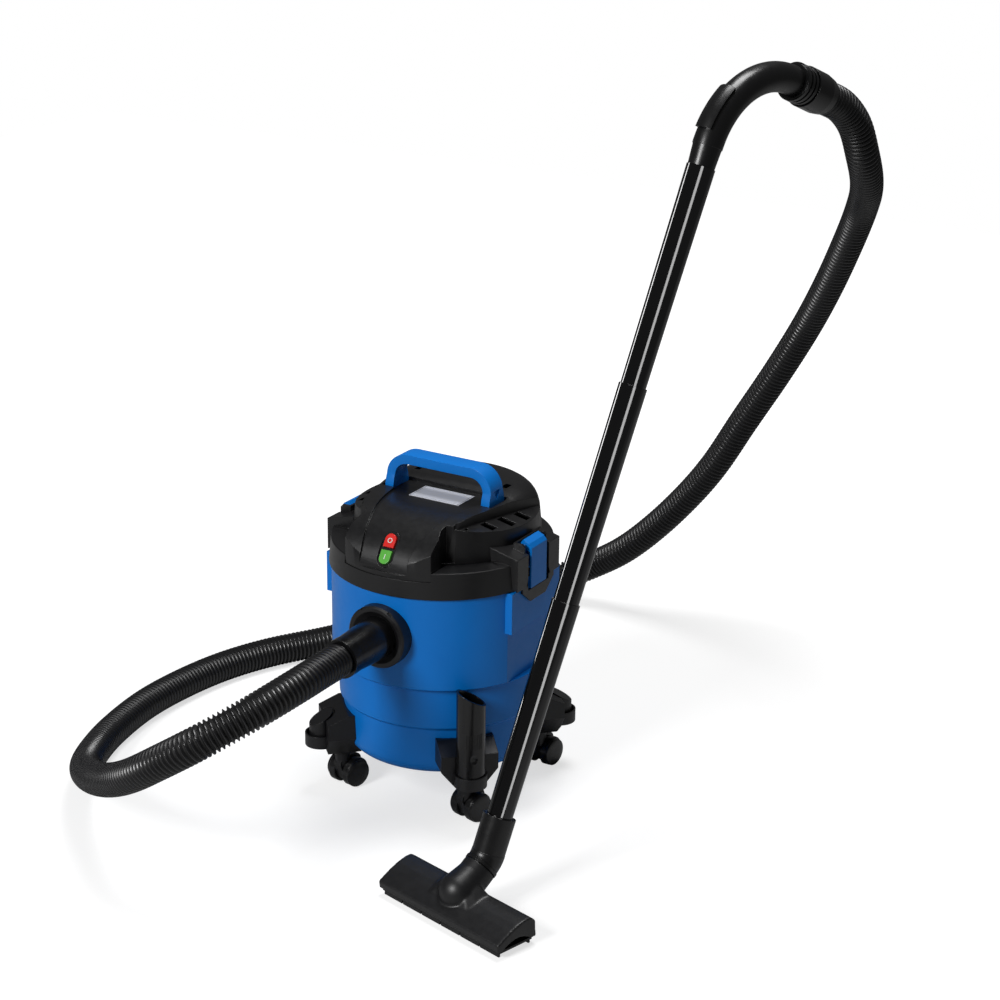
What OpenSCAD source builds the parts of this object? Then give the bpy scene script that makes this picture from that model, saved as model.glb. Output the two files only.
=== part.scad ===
// Wet-and-dry shop vacuum: a wheeled plastic tank with a lift-off motor head, two side
// buckles, a corrugated hose, a three-piece wand with hand grip, and a floor nozzle.
// The origin is the tank's axis on the floor. +Z is up and the hose inlet faces -Y.

/* [Tank] */
// Outer radius of the upper tank wall
tank_r = 139; // [134:0.5:144]
// Outer radius of the wall between the two step lines
tank_mid_r = 132; // [130:0.5:134]
// Outer radius of the wall below the lower step line
tank_low_r = 126; // [122:0.5:128]
// Wall thickness of the tank
tank_wall = 3; // [2:0.25:4]
// Height of the tank's floor above the ground
tank_floor_z = 58; // [54:0.5:62]
// Height of the tank's rim above the ground
tank_top_z = 312; // [306:1:330]
// Height of the upper step line
upper_step_z = 182; // [170:1:188]
// Height of the lower step line
lower_step_z = 127; // [121:1:135]
// Radius of the rounding round the tank's floor
tank_fillet = 19; // [12:1:24]
// Half the distance between the two flat sides under the buckles
flat_x = 128; // [125:0.5:131]
// Half the distance between the flat faces of the buckle bosses
boss_x = 136; // [134:0.5:137]
// Half the width of each buckle boss
boss_half = 58; // [54:1:60]

/* [Inlet] */
// Height of the hose inlet's axis
inlet_z = 248; // [236:1:254]
// Outer radius of the inlet flange
flange_r = 40; // [36:0.5:44]
// How far the flange stands out in front of the tank's axis
flange_reach = 152.5; // [148:0.5:158]
// Outer radius of the hose connector's plug
plug_r = 26; // [24:0.25:27]
// Length of the connector in front of the flange
connector_len = 76; // [60:1:90]

/* [Head] */
// Outer radius of the skirt at its lower edge
skirt_r = 142; // [141.5:0.5:146]
// Height of the skirt
skirt_h = 33; // [28:1:36]
// Outer radius of the cover wall at its foot
cover_r = 134; // [132:0.5:135.5]
// Height of the cover wall from the skirt to the vent shelf
cover_h = 42.5; // [38:0.5:46]
// Inward lean of the cover wall over its height
cover_lean = 7; // [4:0.5:9]
// Wall thickness of the head's mouldings
shell = 3; // [2:0.25:4]
// Height of the front deck above the vent shelf
deck_h = 12.5; // [8:0.5:16]
// Height of the rear hump above the front deck
hump_h = 15; // [8:0.5:18]
// Depth of the recessed control panel
panel_depth = 4; // [2:0.5:5]
// Number of vent slots in each shelf
slot_count = 4; // [2:1:5]
// Width of a vent slot
slot_w = 9; // [6:0.5:11]
// Distance between vent slots
slot_pitch = 31; // [24:1:32]

/* [Handle and switch] */
// Height of the carry handle above its pads
handle_h = 46; // [40:1:60]
// Half the outer width of the carry handle
handle_half = 76; // [72:0.5:77]
// Thickness of the carry handle's bar
handle_t = 12; // [9:0.5:14]
// Width of the carry handle's bar, front to back
handle_w = 28; // [22:1:34]
// Width of the switch bezel
bezel_w = 22; // [20:0.5:26]
// Length of the switch bezel, along the slope
bezel_len = 46; // [42:1:50]
// Travel of a switch button
button_travel = 2; // [1:0.25:2.5]

/* [Motor] */
// Outer radius of the motor pot
pot_r = 62; // [58:0.5:66]
// Radius of the motor's body
motor_r = 45; // [40:0.5:50]
// Height of the motor's body
motor_h = 68; // [60:1:72]
// Radius of the fan
fan_r = 50; // [44:0.5:53]
// Number of fan blades
blade_count = 8; // [5:1:12]
// Outer radius of the float cage
cage_r = 34; // [30:0.5:40]
// Height of the float cage
cage_h = 63; // [55:1:80]
// Thickness of the foam filter sleeve
foam_t = 11; // [6:0.5:14]

/* [Buckles] */
// Width of a buckle
buckle_w = 37; // [30:1:44]
// Height of a buckle
buckle_h = 61; // [56:1:66]
// Radius of a buckle's hinge pin
pin_r = 1.5; // [1:0.1:2]

/* [Casters and tool mounts] */
// Distance of a caster's swivel axis from the tank's axis
swivel_r = 130; // [127:0.5:131.5]
// Radius of a caster wheel
wheel_r = 19; // [16:0.5:20]
// Width of one of a caster's two wheels
wheel_w = 12; // [9:0.5:14]
// Width of the fork between the two wheels
fork_w = 12; // [8:0.5:14]
// How far the axle trails behind the swivel axis
trail = 10; // [6:0.5:12]
// Radius of a caster's stem
stem_r = 5; // [4:0.25:6]
// Half the width of a tool mount
mount_half = 36; // [32:0.5:38]
// Gap between the tank's wall and a stored tool
tool_gap = 0.5; // [0.5:0.25:6]
// Radius of a tool spigot
spigot_r = 15; // [13:0.25:15.5]

/* [Crevice tool] */
// Outer radius of the crevice tool
tool_r = 18; // [17.5:0.25:18.5]
// Length of the crevice tool to the high side of its mouth
tool_len = 123; // [100:1:150]
// How much lower the other side of its mouth is
tool_slant = 19; // [8:1:26]

/* [Wand] */
// Sideways position of the floor nozzle's front edge
nozzle_x = 201; // [190:1:230]
// Front-to-back position of the floor nozzle's front edge
nozzle_y = -331.5; // [-360:0.5:-320]
// Turn of the wand about the vertical
wand_turn = 15.6; // [10:0.1:20]
// Lean of the wand from the vertical
wand_lean = 23; // [18:0.5:28]
// Length of one wand tube
tube_len = 300; // [240:5:340]
// Length of the push fit between two tubes
tube_fit = 40; // [30:1:50]
// Outer radius of a tube at its narrow end
tube_r0 = 15; // [14:0.25:16]
// Outer radius of a tube at its wide end
tube_r1 = 17; // [16.5:0.25:18]
// Radius of the hand grip's curve
grip_bend = 110; // [90:1:130]
// Outer radius of the hand grip
grip_r = 18; // [17.5:0.25:20]

/* [Floor nozzle] */
// Width of the floor nozzle
nozzle_w = 204; // [160:2:260]
// Outer radius of the nozzle's neck
neck_r = 20.5; // [20:0.25:23]
// Steepness of the neck from the floor
neck_rise = 36; // [30:1:42]
// Number of bristle strips along each edge
strip_count = 6; // [3:1:9]

/* [Hose] */
// Outer diameter of the hose
hose_d = 42; // [36:0.5:42]
// Number of sides of the plain hose tube
hose_sides = 10; // [8:1:12]

/* [Hidden] */
$fn = 64;

// Clearances
run_gap = 0.05;    // radial, shaft in a bore
move_gap = 0.3;    // between faces that move past each other
seat_gap = 0.1;    // between mouldings that are fastened together
eps = 0.5;         // how far a cutter runs past a face

// Heights and radii of the head, from the tank upwards
gasket_h = 3;
plate_t = 4;
plate_z = tank_top_z + gasket_h;
skirt_z = tank_top_z - 10;
ledge_z = skirt_z + skirt_h;
shelf_z = ledge_z + cover_h;
deck_z = shelf_z + deck_h;
hump_z = deck_z + hump_h;
skirt_in = tank_r + 0.6;
skirt_top_r = skirt_r - 2.8;
cover_top_r = cover_r - cover_lean;
ledge_in = cover_r - shell;
housing_x = skirt_r - 3;
housing_half = 51;
pocket_x = 122;
pocket_half = 25;
pocket_z = skirt_z - 6;
pocket_top = pocket_z + buckle_h + 5;
pin_x = pocket_x + 7.5;
pin_z = pocket_z + buckle_h - 6;

// The steps and the bosses of the tank
step_h = 4.5;
boss_z0 = tank_top_z - 64;
boss_z1 = skirt_z - 1;
flat_z0 = upper_step_z - 1;
tank_base_r = tank_low_r - 2;

// The front tongue of the cover
tongue_half = 62;
tongue_z = skirt_z + 22;
tongue_y = skirt_in - 0.6;
brow_y = 45;

// The switch sits on the slope of the control panel
switch_tilt = 54;
switch_y = -121;
switch_z = ledge_z + 17;
bezel_proud = 2;
bezel_depth = 9;
bezel_rim = 3.2;
button_gap = 0.35;
button_proud = 5;

// The carry handle
pad_y = [-16, 25];
foot_w = 36;
handle_mid_y = 4;
handle_z = deck_z - panel_depth;
handle_round = 30;

// The motor pot, motor and fan
pot_h = 51;
pot_z = plate_z + plate_t - pot_h;
pot_in = pot_r - 2.5;
seat_z = plate_z - 24.5;
seat_in = pot_in - 3.5;
motor_gasket_h = 2.5;
motor_plate_t = 4;
motor_z = seat_z + motor_gasket_h;
shaft_r = 4;
fan_z = pot_z + 6;
fan_h = 13;
eye_r = 16;
cage_z = pot_z - cage_h;
cage_wall = 2;
float_r = cage_r - cage_wall - 4;
float_h = 27;
float_gap = 0.4;

// The caster and mount layout
mount_z0 = 50;
mount_top_in = 112;
mount_top_out = 100;
spigot_at = tank_r + tool_r + tool_gap;
mount_out = spigot_at - 3.5;
cup_z0 = 62;
cup_z1 = 78;
groove_z = 66;
groove_r = tool_r + 0.4;
cup_r = groove_r + 2.1;
screw_r = 2;
screw_at = 100;
mount_angles = [["front_left", -135], ["front_right", -45], ["rear_left", 135], ["rear_right", 45]];
caster_turns = [["front_left", -9], ["front_right", -15], ["rear_left", -5], ["rear_right", -1]];
axle_r = 3;
stem_top_z = 76;

// The wand's line: the neck leaves the nozzle, turns through the elbow and runs straight up
wand_rise = 90 - wand_lean;
seam = [70.8, 54.5];
elbow_bend = 30;
elbow_turn = wand_rise - neck_rise;
elbow_in = seam + 0.4 * [cos(neck_rise), sin(neck_rise)];
elbow_mid = elbow_in + elbow_bend * [-sin(neck_rise), cos(neck_rise)];
elbow_out = elbow_mid + elbow_bend * [sin(wand_rise), -cos(wand_rise)];
socket_len = tube_fit + 4;
rim = elbow_out + socket_len * [cos(wand_rise), sin(wand_rise)];
elbow_r = neck_r - 0.5;
neck_bore = 16;
tube_wall = (tube_r1 - tube_r0) * (tube_len - tube_fit) / tube_len - run_gap;
tube_pitch = tube_len - tube_fit;
sleeve_len = 24;
grip_start = rim + (3 * tube_pitch + sleeve_len) * [cos(wand_rise), sin(wand_rise)];
grip_mid = grip_start + grip_bend * [sin(wand_rise), -cos(wand_rise)];
grip_sweep = 90;
grip_end = grip_mid + grip_bend * [cos(wand_rise), sin(wand_rise)];
grip_bore = 14;
collar_len = 22;
cuff_len = 40;
cuff_r = 25;
journal_r = 17.2;
journal_len = collar_len + cuff_len - 14;
bend_lip = 0.3;

// Route of the hose's centreline, from the hand grip's cuff down and round to the inlet
hose_path = [
  [367, 263, 880], [376, 297, 864], [383, 325, 838], [385, 352, 797], [373, 402, 750],
  [340, 470, 697], [303, 512, 628], [267, 545, 563], [227, 575, 496], [180, 592, 418],
  [130, 603, 338], [83, 610, 260], [45, 612, 208], [-7, 610, 148], [-58, 608, 100],
  [-108, 606, 66], [-157, 588, 40], [-201, 545, 25], [-243, 468, 21], [-277, 381, 21],
  [-312, 301, 21], [-345, 235, 21], [-388, 160, 21], [-414, 90, 21], [-427, 15, 21],
  [-429, -70, 21], [-414, -160, 21], [-388, -228, 26], [-350, -288, 40], [-292, -345, 66],
  [-226, -391, 98], [-163, -424, 135], [-111, -433, 170], [-62, -421, 203], [-23, -376, 230],
  [-2, -310, 246], [0, -270, 248], [0, -229, 248]
];

// Points of an arc round [cx, cy]
function arc(cx, cy, r, a0, a1, n = 8) =
  [for (i = [0:n]) [cx + r * cos(a0 + (a1 - a0) * i / n), cy + r * sin(a0 + (a1 - a0) * i / n)]];

// Points of an elliptic arc with half-axes rx and ry
function oval(cx, cy, rx, ry, a0, a1, n = 10) =
  [for (i = [0:n]) [cx + rx * cos(a0 + (a1 - a0) * i / n), cy + ry * sin(a0 + (a1 - a0) * i / n)]];

// Mirror image of an outline in its second axis
function flipped(points) = [for (i = [len(points) - 1:-1:0]) [-points[i][0], points[i][1]]];

function turn_of(table, name) = [for (row = table) if (row[0] == name) row[1]][0];

// A ring or tube standing on the XY plane
module tube(outer, inner, height) {
  difference() {
    cylinder(r = outer, h = height);
    translate([0, 0, -eps]) cylinder(r = inner, h = height + 2 * eps);
  }
}

// A block between two corners
module block(low, high) {
  translate(low) cube(high - low);
}

// An outline in (Y, Z), extruded along X between x0 and x1
module side_extrude(x0, x1) {
  translate([x0, 0, 0]) rotate([90, 0, 90]) linear_extrude(x1 - x0) children();
}

// An outline in (X, Z), extruded along Y between y0 and y1
module front_extrude(y0, y1) {
  translate([0, y1, 0]) rotate([90, 0, 0]) linear_extrude(y1 - y0) children();
}

// Children on both sides of the X = 0 plane
module both_sides() {
  children();
  mirror([1, 0, 0]) children();
}

// ---------------------------------------------------------------- tank

// Half section of the tank, drawn inwards by a wall thickness
function tank_outline(inset, top) = concat(
  [[0, tank_floor_z + inset]],
  arc(tank_base_r - tank_fillet, tank_floor_z + tank_fillet, tank_fillet - inset, -90, 0),
  [[tank_low_r - inset, lower_step_z - step_h], [tank_low_r + step_h - inset, lower_step_z],
   [tank_mid_r - inset, upper_step_z - step_h], [tank_r - inset, upper_step_z],
   [tank_r - inset, top], [0, top]]);

// The tank's form: a stepped drum with a flat and a boss on each side
module tank_form(inset, top) {
  difference() {
    union() {
      rotate_extrude() polygon(tank_outline(inset, top));
      block([inset - boss_x, inset - boss_half, boss_z0 + inset],
            [boss_x - inset, boss_half - inset, boss_z1 - inset]);
    }
    both_sides() {
      block([flat_x - inset, -tank_r, flat_z0 - inset], [tank_r + eps, tank_r, boss_z0 + inset]);
      block([boss_x - inset, -tank_r, boss_z0 - eps], [tank_r + eps, tank_r, top + eps]);
    }
  }
}

module tank() {
  color("royalblue") difference() {
    union() {
      difference() {
        tank_form(0, tank_top_z);
        tank_form(tank_wall, tank_top_z + 1);
      }
      for (place = mount_angles)
        rotate([0, 0, place[1]]) translate([screw_at, 0, tank_floor_z + eps])
          cylinder(r = 2.5 * screw_r, h = 10);
    }
    translate([0, 0, inlet_z]) rotate([90, 0, 0]) cylinder(r = plug_r + 4, h = tank_r + eps);
    for (place = mount_angles)
      rotate([0, 0, place[1]]) translate([screw_at, 0, tank_floor_z - eps])
        cylinder(r = screw_r, h = 8 + eps);
    both_sides() block([boss_x - 1.8, -8, pocket_z - 2], [tank_r, 8, tank_top_z + eps]);
  }
}

module tank_gasket() {
  color("dimgray") intersection() {
    translate([0, 0, tank_top_z]) tube(tank_r - 0.4, tank_r - 4.5, gasket_h);
    block([-boss_x, -tank_r, tank_top_z], [boss_x, tank_r, plate_z]);
  }
}

// ---------------------------------------------------------------- inlet

// Children placed with +Z pointing out of the inlet, at a distance in front of the tank's axis
module inlet_at(reach) {
  translate([0, -reach, inlet_z]) rotate([90, 0, 0]) children();
}

module inlet_flange() {
  funnel = 8;
  color("dimgray") difference() {
    union() {
      difference() {
        inlet_at(tank_r - 22) cylinder(r = flange_r, h = flange_reach - tank_r + 22);
        translate([0, 0, inlet_z - 60]) cylinder(r = tank_r + seat_gap, h = 120);
      }
      inlet_at(tank_r - 12) cylinder(r = plug_r + 4 - seat_gap, h = 12 + (flange_reach - tank_r) / 2);
    }
    inlet_at(tank_r - 14) cylinder(r = plug_r + run_gap, h = 40);
    inlet_at(flange_reach - funnel) cylinder(r1 = plug_r, r2 = flange_r - 6, h = funnel + eps / 10);
    for (a = [60, 120])
      inlet_at(flange_reach - 3) rotate([0, 0, a]) translate([flange_r, 0, 1.5]) cube([4, 7, 4], center = true);
  }
}

// Curved spout inside the tank that turns the air stream down
module inlet_deflector() {
  bend = 34;
  color("dimgray") translate([0, -tank_r + 12, inlet_z - bend]) rotate([90, 0, 90])
    rotate([0, 0, 40]) rotate_extrude(angle = 50) translate([bend, 0]) difference() {
      circle(r = plug_r + 3);
      circle(r = plug_r + 0.5);
    }
}

module hose_connector() {
  tail = 14;
  bore_r = hose_d / 2 - 4;
  color("black") difference() {
    union() {
      inlet_at(tank_r - 12) cylinder(r = plug_r, h = flange_reach - tank_r + 12 + tail);
      inlet_at(flange_reach + tail) cylinder(r1 = plug_r, r2 = plug_r - 2.5, h = connector_len - 2 * tail);
      inlet_at(flange_reach + connector_len - tail) cylinder(r = plug_r - 1.7, h = tail);
    }
    inlet_at(tank_r - 13) cylinder(r = bore_r, h = flange_reach - tank_r + 14 + connector_len);
  }
}

// ---------------------------------------------------------------- tool mounts and casters

// Children placed at a mount's angle, with +X pointing away from the tank's axis
module at_mount(name) {
  rotate([0, 0, turn_of(mount_angles, name)]) children();
}

// A spigot with a sloping top that a tool's tube slides over
module spigot(r) {
  intersection() {
    translate([spigot_at, 0, cup_z0]) cylinder(r = r, h = 60);
    front_extrude(-r - 1, r + 1) polygon([
      [spigot_at - 20, cup_z0], [spigot_at + 20, cup_z0],
      [spigot_at + 20, 87], [spigot_at - 20, 110]]);
  }
}

module tool_mount(name) {
  brace = 12;
  color("black") at_mount(name) difference() {
    union() {
      difference() {
        union() {
          intersection() {
            front_extrude(-mount_half, mount_half) polygon([
              [108, mount_z0], [mount_out - 3, mount_z0], [mount_out, cup_z0],
              [mount_out, mount_top_out], [tank_low_r + 2, mount_top_in], [108, mount_top_in]]);
            side_extrude(100, 200) polygon([
              [-brace, mount_z0], [brace, mount_z0], [mount_half, 80],
              [mount_half, 120], [-mount_half, 120], [-mount_half, 80]]);
          }
          translate([spigot_at, 0, cup_z0]) cylinder(r = cup_r, h = cup_z1 - cup_z0);
          block([screw_at - 8, -brace, mount_z0 + 2], [swivel_r, brace, tank_floor_z - seat_gap]);
        }
        translate([spigot_at, 0, groove_z]) cylinder(r = groove_r, h = 60);
      }
      spigot(spigot_r);
    }
    rotate_extrude() polygon(tank_outline(-seat_gap, tank_top_z));
    translate([swivel_r, 0, mount_z0 - eps]) cylinder(r = stem_r + run_gap, h = stem_top_z + 2 - mount_z0);
    translate([screw_at, 0, mount_z0]) cylinder(r = screw_r + seat_gap, h = 12);
  }
}

module mount_screws() {
  color("silver") for (place = mount_angles)
    rotate([0, 0, place[1]]) translate([screw_at, 0, 0]) {
      translate([0, 0, mount_z0]) cylinder(r = 2 * screw_r, h = 2);
      translate([0, 0, mount_z0 + 2]) cylinder(r = screw_r, h = tank_floor_z + 7.5 - mount_z0 - 2);
    }
}

// Children placed in a caster's own frame: swivel axis at the origin, axle along X
module at_caster(name) {
  at_mount(name) translate([swivel_r, 0, 0])
    rotate([0, 0, turn_of(caster_turns, name) - turn_of(mount_angles, name)]) children();
}

module caster_fork(name) {
  collar_z = 42;
  color("black") at_caster(name) difference() {
    union() {
      side_extrude(-fork_w / 2, fork_w / 2) difference() {
        hull() {
          translate([trail, wheel_r]) circle(r = wheel_r - 4);
          translate([0, collar_z - 10]) circle(r = 10);
          translate([trail + 6, collar_z - 14]) circle(r = 12);
        }
        translate([-60, collar_z]) square([120, 20]);
      }
      translate([0, 0, collar_z - 12]) cylinder(r = 9.5, h = mount_z0 - move_gap - collar_z + 12);
      translate([0, 0, collar_z]) cylinder(r = stem_r, h = stem_top_z - collar_z);
    }
    for (side = [-1, 1])
      translate([side * (fork_w / 2 + 8), trail, wheel_r]) rotate([0, 90, 0])
        cylinder(r = wheel_r + 1, h = 16, center = true);
    translate([-fork_w, trail, wheel_r]) rotate([0, 90, 0]) cylinder(r = axle_r, h = 2 * fork_w);
  }
}

module caster_axle(name) {
  half = fork_w / 2 + wheel_w - 1;
  color("silver") at_caster(name) translate([-half, trail, wheel_r]) rotate([0, 90, 0])
    cylinder(r = axle_r, h = 2 * half);
}

module caster_wheels(name) {
  dish = 2;
  inner = fork_w / 2 + move_gap;
  color("black") at_caster(name) translate([0, trail, wheel_r]) both_sides()
    rotate([0, 90, 0]) rotate_extrude() polygon(concat(
      [[axle_r + run_gap, inner], [wheel_r - 1, inner], [wheel_r, inner + 1]],
      arc(wheel_r - 3, inner + wheel_w - 3, 3, 0, 90, 4),
      [[wheel_r - 5, inner + wheel_w - dish], [7, inner + wheel_w - dish],
       [6, inner + wheel_w], [axle_r + run_gap, inner + wheel_w]]));
}

module crevice_tool() {
  rib_count = 8;
  inner = spigot_r + move_gap;
  low = groove_z + move_gap;
  high = low + tool_len;
  color("black") at_mount("front_right") translate([spigot_at, 0, 0]) difference() {
    union() {
      intersection() {
        translate([0, 0, low]) cylinder(r = tool_r, h = tool_len);
        side_extrude(-tool_r, tool_r) polygon([
          [-tool_r, low], [tool_r, low], [tool_r, high - tool_slant], [-tool_r, high]]);
      }
      for (i = [0:rib_count - 1])
        rotate([0, 0, (i - (rib_count - 1) / 2) * 9]) block([tool_r - 1, -0.6, low + 51], [tool_r + 0.7, 0.6, low + 71]);
    }
    translate([0, 0, low - eps]) cylinder(r = inner, h = tool_len + 2 * eps);
    translate([tool_r + 12.5, 0, low + 38]) sphere(r = 14);
  }
}

// ---------------------------------------------------------------- motor head

// Half section of the cover's drum, drawn inwards by a wall thickness
module cover_drum(inset, foot_z) {
  lean = cover_lean / cover_h;
  rotate_extrude() polygon([
    [0, foot_z], [cover_r - inset - lean * (foot_z - ledge_z), foot_z],
    [cover_top_r - inset, shelf_z - inset], [0, shelf_z - inset]]);
}

// Plan of the raised body on top of the cover: front tongue, handle pads and rear hump
body_right = [
  [tongue_half, -tongue_y - 4], [tongue_half, -118], [54, -92], [60, -70], [64, -24],
  [handle_half + 2, pad_y[0]], [handle_half + 3, pad_y[1]], [89, 57], [96, 84], [96, cover_r + 6]];

// Side view of the raised body: the brow's curve, the deck and the step up to the hump
module body_side(inset) {
  foot = tongue_z - (inset > 0 ? 1 : 0);
  polygon(concat(
    inset > 0 ? [[inset - tongue_y, foot]] : [],
    oval(-brow_y, tongue_z, tongue_y - brow_y - inset, deck_z - tongue_z - inset, 180, 90),
    [[pad_y[0] + 34, deck_z - inset], [pad_y[0] + 52, hump_z - inset],
     [cover_r, hump_z - inset], [cover_r, shelf_z - 8], [-95, shelf_z - 8], [-105, foot]]));
}

// Front view of the shoulders, which limits the hump's corners
module body_shoulders(inset) {
  right = concat(
    [[130, tongue_z - 5], [130, shelf_z - 1]],
    oval(73, shelf_z - 1, 34 - inset, hump_z - shelf_z + 1 - inset, 0, 90, 8));
  polygon(concat(right, flipped(right)));
}

// Round limits of the raised body: the drum's radius behind, the skirt's radius in front
module body_round(inset) {
  rear_r = cover_top_r - eps - inset;
  rotate_extrude() polygon(concat(
    [[0, tongue_z - 2], [rear_r, tongue_z - 2]],
    oval(rear_r - 22, shelf_z, 22, hump_z - shelf_z - inset, 0, 90, 6),
    [[0, hump_z - inset]]));
  intersection() {
    translate([0, 0, tongue_z - 2]) cylinder(r = tongue_y + 0.2 - inset, h = hump_z - tongue_z);
    block([-tongue_half - 5, -skirt_r, tongue_z - 2], [tongue_half + 5, -60, hump_z]);
  }
}

module body_form(inset, side_inset) {
  intersection() {
    translate([0, 0, tongue_z - 1]) linear_extrude(hump_z - tongue_z + 2) offset(delta = -side_inset)
      polygon(concat(body_right, flipped(body_right)));
    side_extrude(-cover_r, cover_r) body_side(inset);
    front_extrude(-skirt_r, skirt_r) body_shoulders(inset);
    body_round(inset);
  }
}

// Deep groove between the tongue and the drum on each side
module groove_plan(grow) {
  both_sides() offset(delta = grow)
    polygon([[tongue_half, -150], [74, -150], [67, -97], [55, -91], [tongue_half, -118]]);
}

// The control panel's recess in the tongue and the deck
panel_right = [[33, -160], [34, -132], [40, -112], [50, -74], [57, -40], [handle_half - handle_t - 3, pad_y[0]],
  [handle_half + 4, pad_y[0]], [handle_half + 4, pad_y[1] + 2]];
module panel_recess(grow) {
  floor_y = handle_mid_y + foot_w / 2 + 1 + grow;
  depth = panel_depth + grow;
  intersection() {
    translate([0, 0, tongue_z + 6 - 2 * grow]) linear_extrude(90) offset(delta = grow)
      polygon(concat(panel_right, flipped(panel_right)));
    side_extrude(-skirt_r, skirt_r) polygon(concat(
      oval(-brow_y, tongue_z, tongue_y - brow_y - depth, deck_z - tongue_z - depth, 180, 90),
      [[floor_y, deck_z - depth], [floor_y, hump_z + 1],
       [-skirt_r - 1, hump_z + 1], [-skirt_r - 1, tongue_z]]));
  }
}

// Vent slots, cut through the shelf at a slant so that no water runs in
module vent_slots() {
  for (i = [0:slot_count - 1]) {
    y = 26 - i * slot_pitch;
    reach = min(106, sqrt(pow(cover_top_r - 4, 2) - pow(y - slot_w, 2)));
    start = i == slot_count - 1 ? reach - 18 : 80;
    side_extrude(start, reach) polygon([
      [y - slot_w / 2, shelf_z + eps], [y + slot_w / 2, shelf_z + eps],
      [y + slot_w / 2 + 4, shelf_z - shell - eps], [y - slot_w / 2 + 4, shelf_z - shell - eps]]);
  }
}

// Children placed on the switch's slope: +Z out of the panel, +Y up the slope
module at_switch() {
  translate([0, switch_y, switch_z]) rotate([switch_tilt, 0, 0]) children();
}

module stadium(w, l, h) {
  linear_extrude(h) hull() {
    translate([0, (l - w) / 2]) circle(d = w);
    translate([0, (w - l) / 2]) circle(d = w);
  }
}

boss_places = [for (a = [35, 145, 215, 325]) 108 * [cos(a), sin(a)]];

module head_cover() {
  color("black") difference() {
    union() {
      difference() {
        union() {
          cover_drum(0, ledge_z);
          body_form(0, 0);
        }
        difference() {
          union() {
            cover_drum(shell, ledge_z - eps);
            body_form(shell, shell);
          }
          translate([0, 0, ledge_z - 1]) linear_extrude(60) groove_plan(shell - 1);
          panel_recess(shell);
        }
        panel_recess(0);
        translate([0, 0, ledge_z + 2]) linear_extrude(60) groove_plan(0);
      }
      for (p = boss_places)
        translate([p[0], p[1], plate_z + plate_t]) cylinder(r = 5, h = shelf_z - shell / 2 - plate_z - plate_t);
    }
    both_sides() {
      vent_slots();
      block([pocket_x - shell - move_gap, -pocket_half - shell - move_gap, skirt_z],
            [skirt_r, pocket_half + shell + move_gap, pocket_top]);
      translate([handle_half - handle_t / 2, handle_mid_y, deck_z - 30]) cylinder(r = 2.5 + seat_gap, h = 40);
      block([handle_half - 16, pad_y[1] + 15, hump_z - 8], [handle_half - 8, pad_y[1] + 29, hump_z + eps]);
    }
    for (p = boss_places)
      translate([p[0], p[1], plate_z]) cylinder(r = screw_r, h = 22);
    at_switch() translate([0, 0, -20]) stadium(bezel_w + seat_gap, bezel_len + seat_gap, 40);
    translate([0, cover_r - 12, ledge_z + 15]) rotate([-90, 0, 0]) cylinder(r = 6 + seat_gap, h = 30);
  }
}

// The raised housing that holds a buckle, on the right-hand side
module buckle_housing() {
  slope_z = ledge_z + 8;
  intersection() {
    difference() {
      union() {
        front_extrude(-housing_half, housing_half) polygon([
          [pocket_x - shell, skirt_z], [housing_x, skirt_z], [housing_x, slope_z],
          [housing_x - 11, slope_z + 13], [pocket_x - shell, slope_z + 14]]);
        block([pocket_x - shell, -pocket_half - shell, plate_z], [pocket_x, pocket_half + shell, pocket_top - move_gap]);
        side_extrude(boss_x + move_gap, housing_x) polygon([
          [-38, skirt_z], [-38, pocket_z], [-18, pocket_z - 16], [18, pocket_z - 16], [38, pocket_z], [38, skirt_z]]);
      }
      difference() {
        union() {
          cover_drum(-seat_gap, ledge_z);
          translate([0, 0, plate_z + plate_t]) cylinder(r = ledge_in, h = ledge_z - plate_z - plate_t + eps);
        }
        block([pocket_x - shell, -pocket_half - shell, skirt_z], [skirt_r, pocket_half + shell, pocket_top]);
      }
      block([pocket_x, -pocket_half, plate_z + 1], [skirt_r, pocket_half, pocket_top + eps]);
      block([boss_x, -pocket_half, pocket_z], [skirt_r, pocket_half, plate_z + 1 + eps]);
      translate([pin_x, -pocket_half - 8, pin_z]) rotate([-90, 0, 0]) cylinder(r = pin_r, h = 2 * pocket_half + 16);
    }
    block([0, -200, 0], [housing_x, 200, 500]);
  }
}

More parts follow.
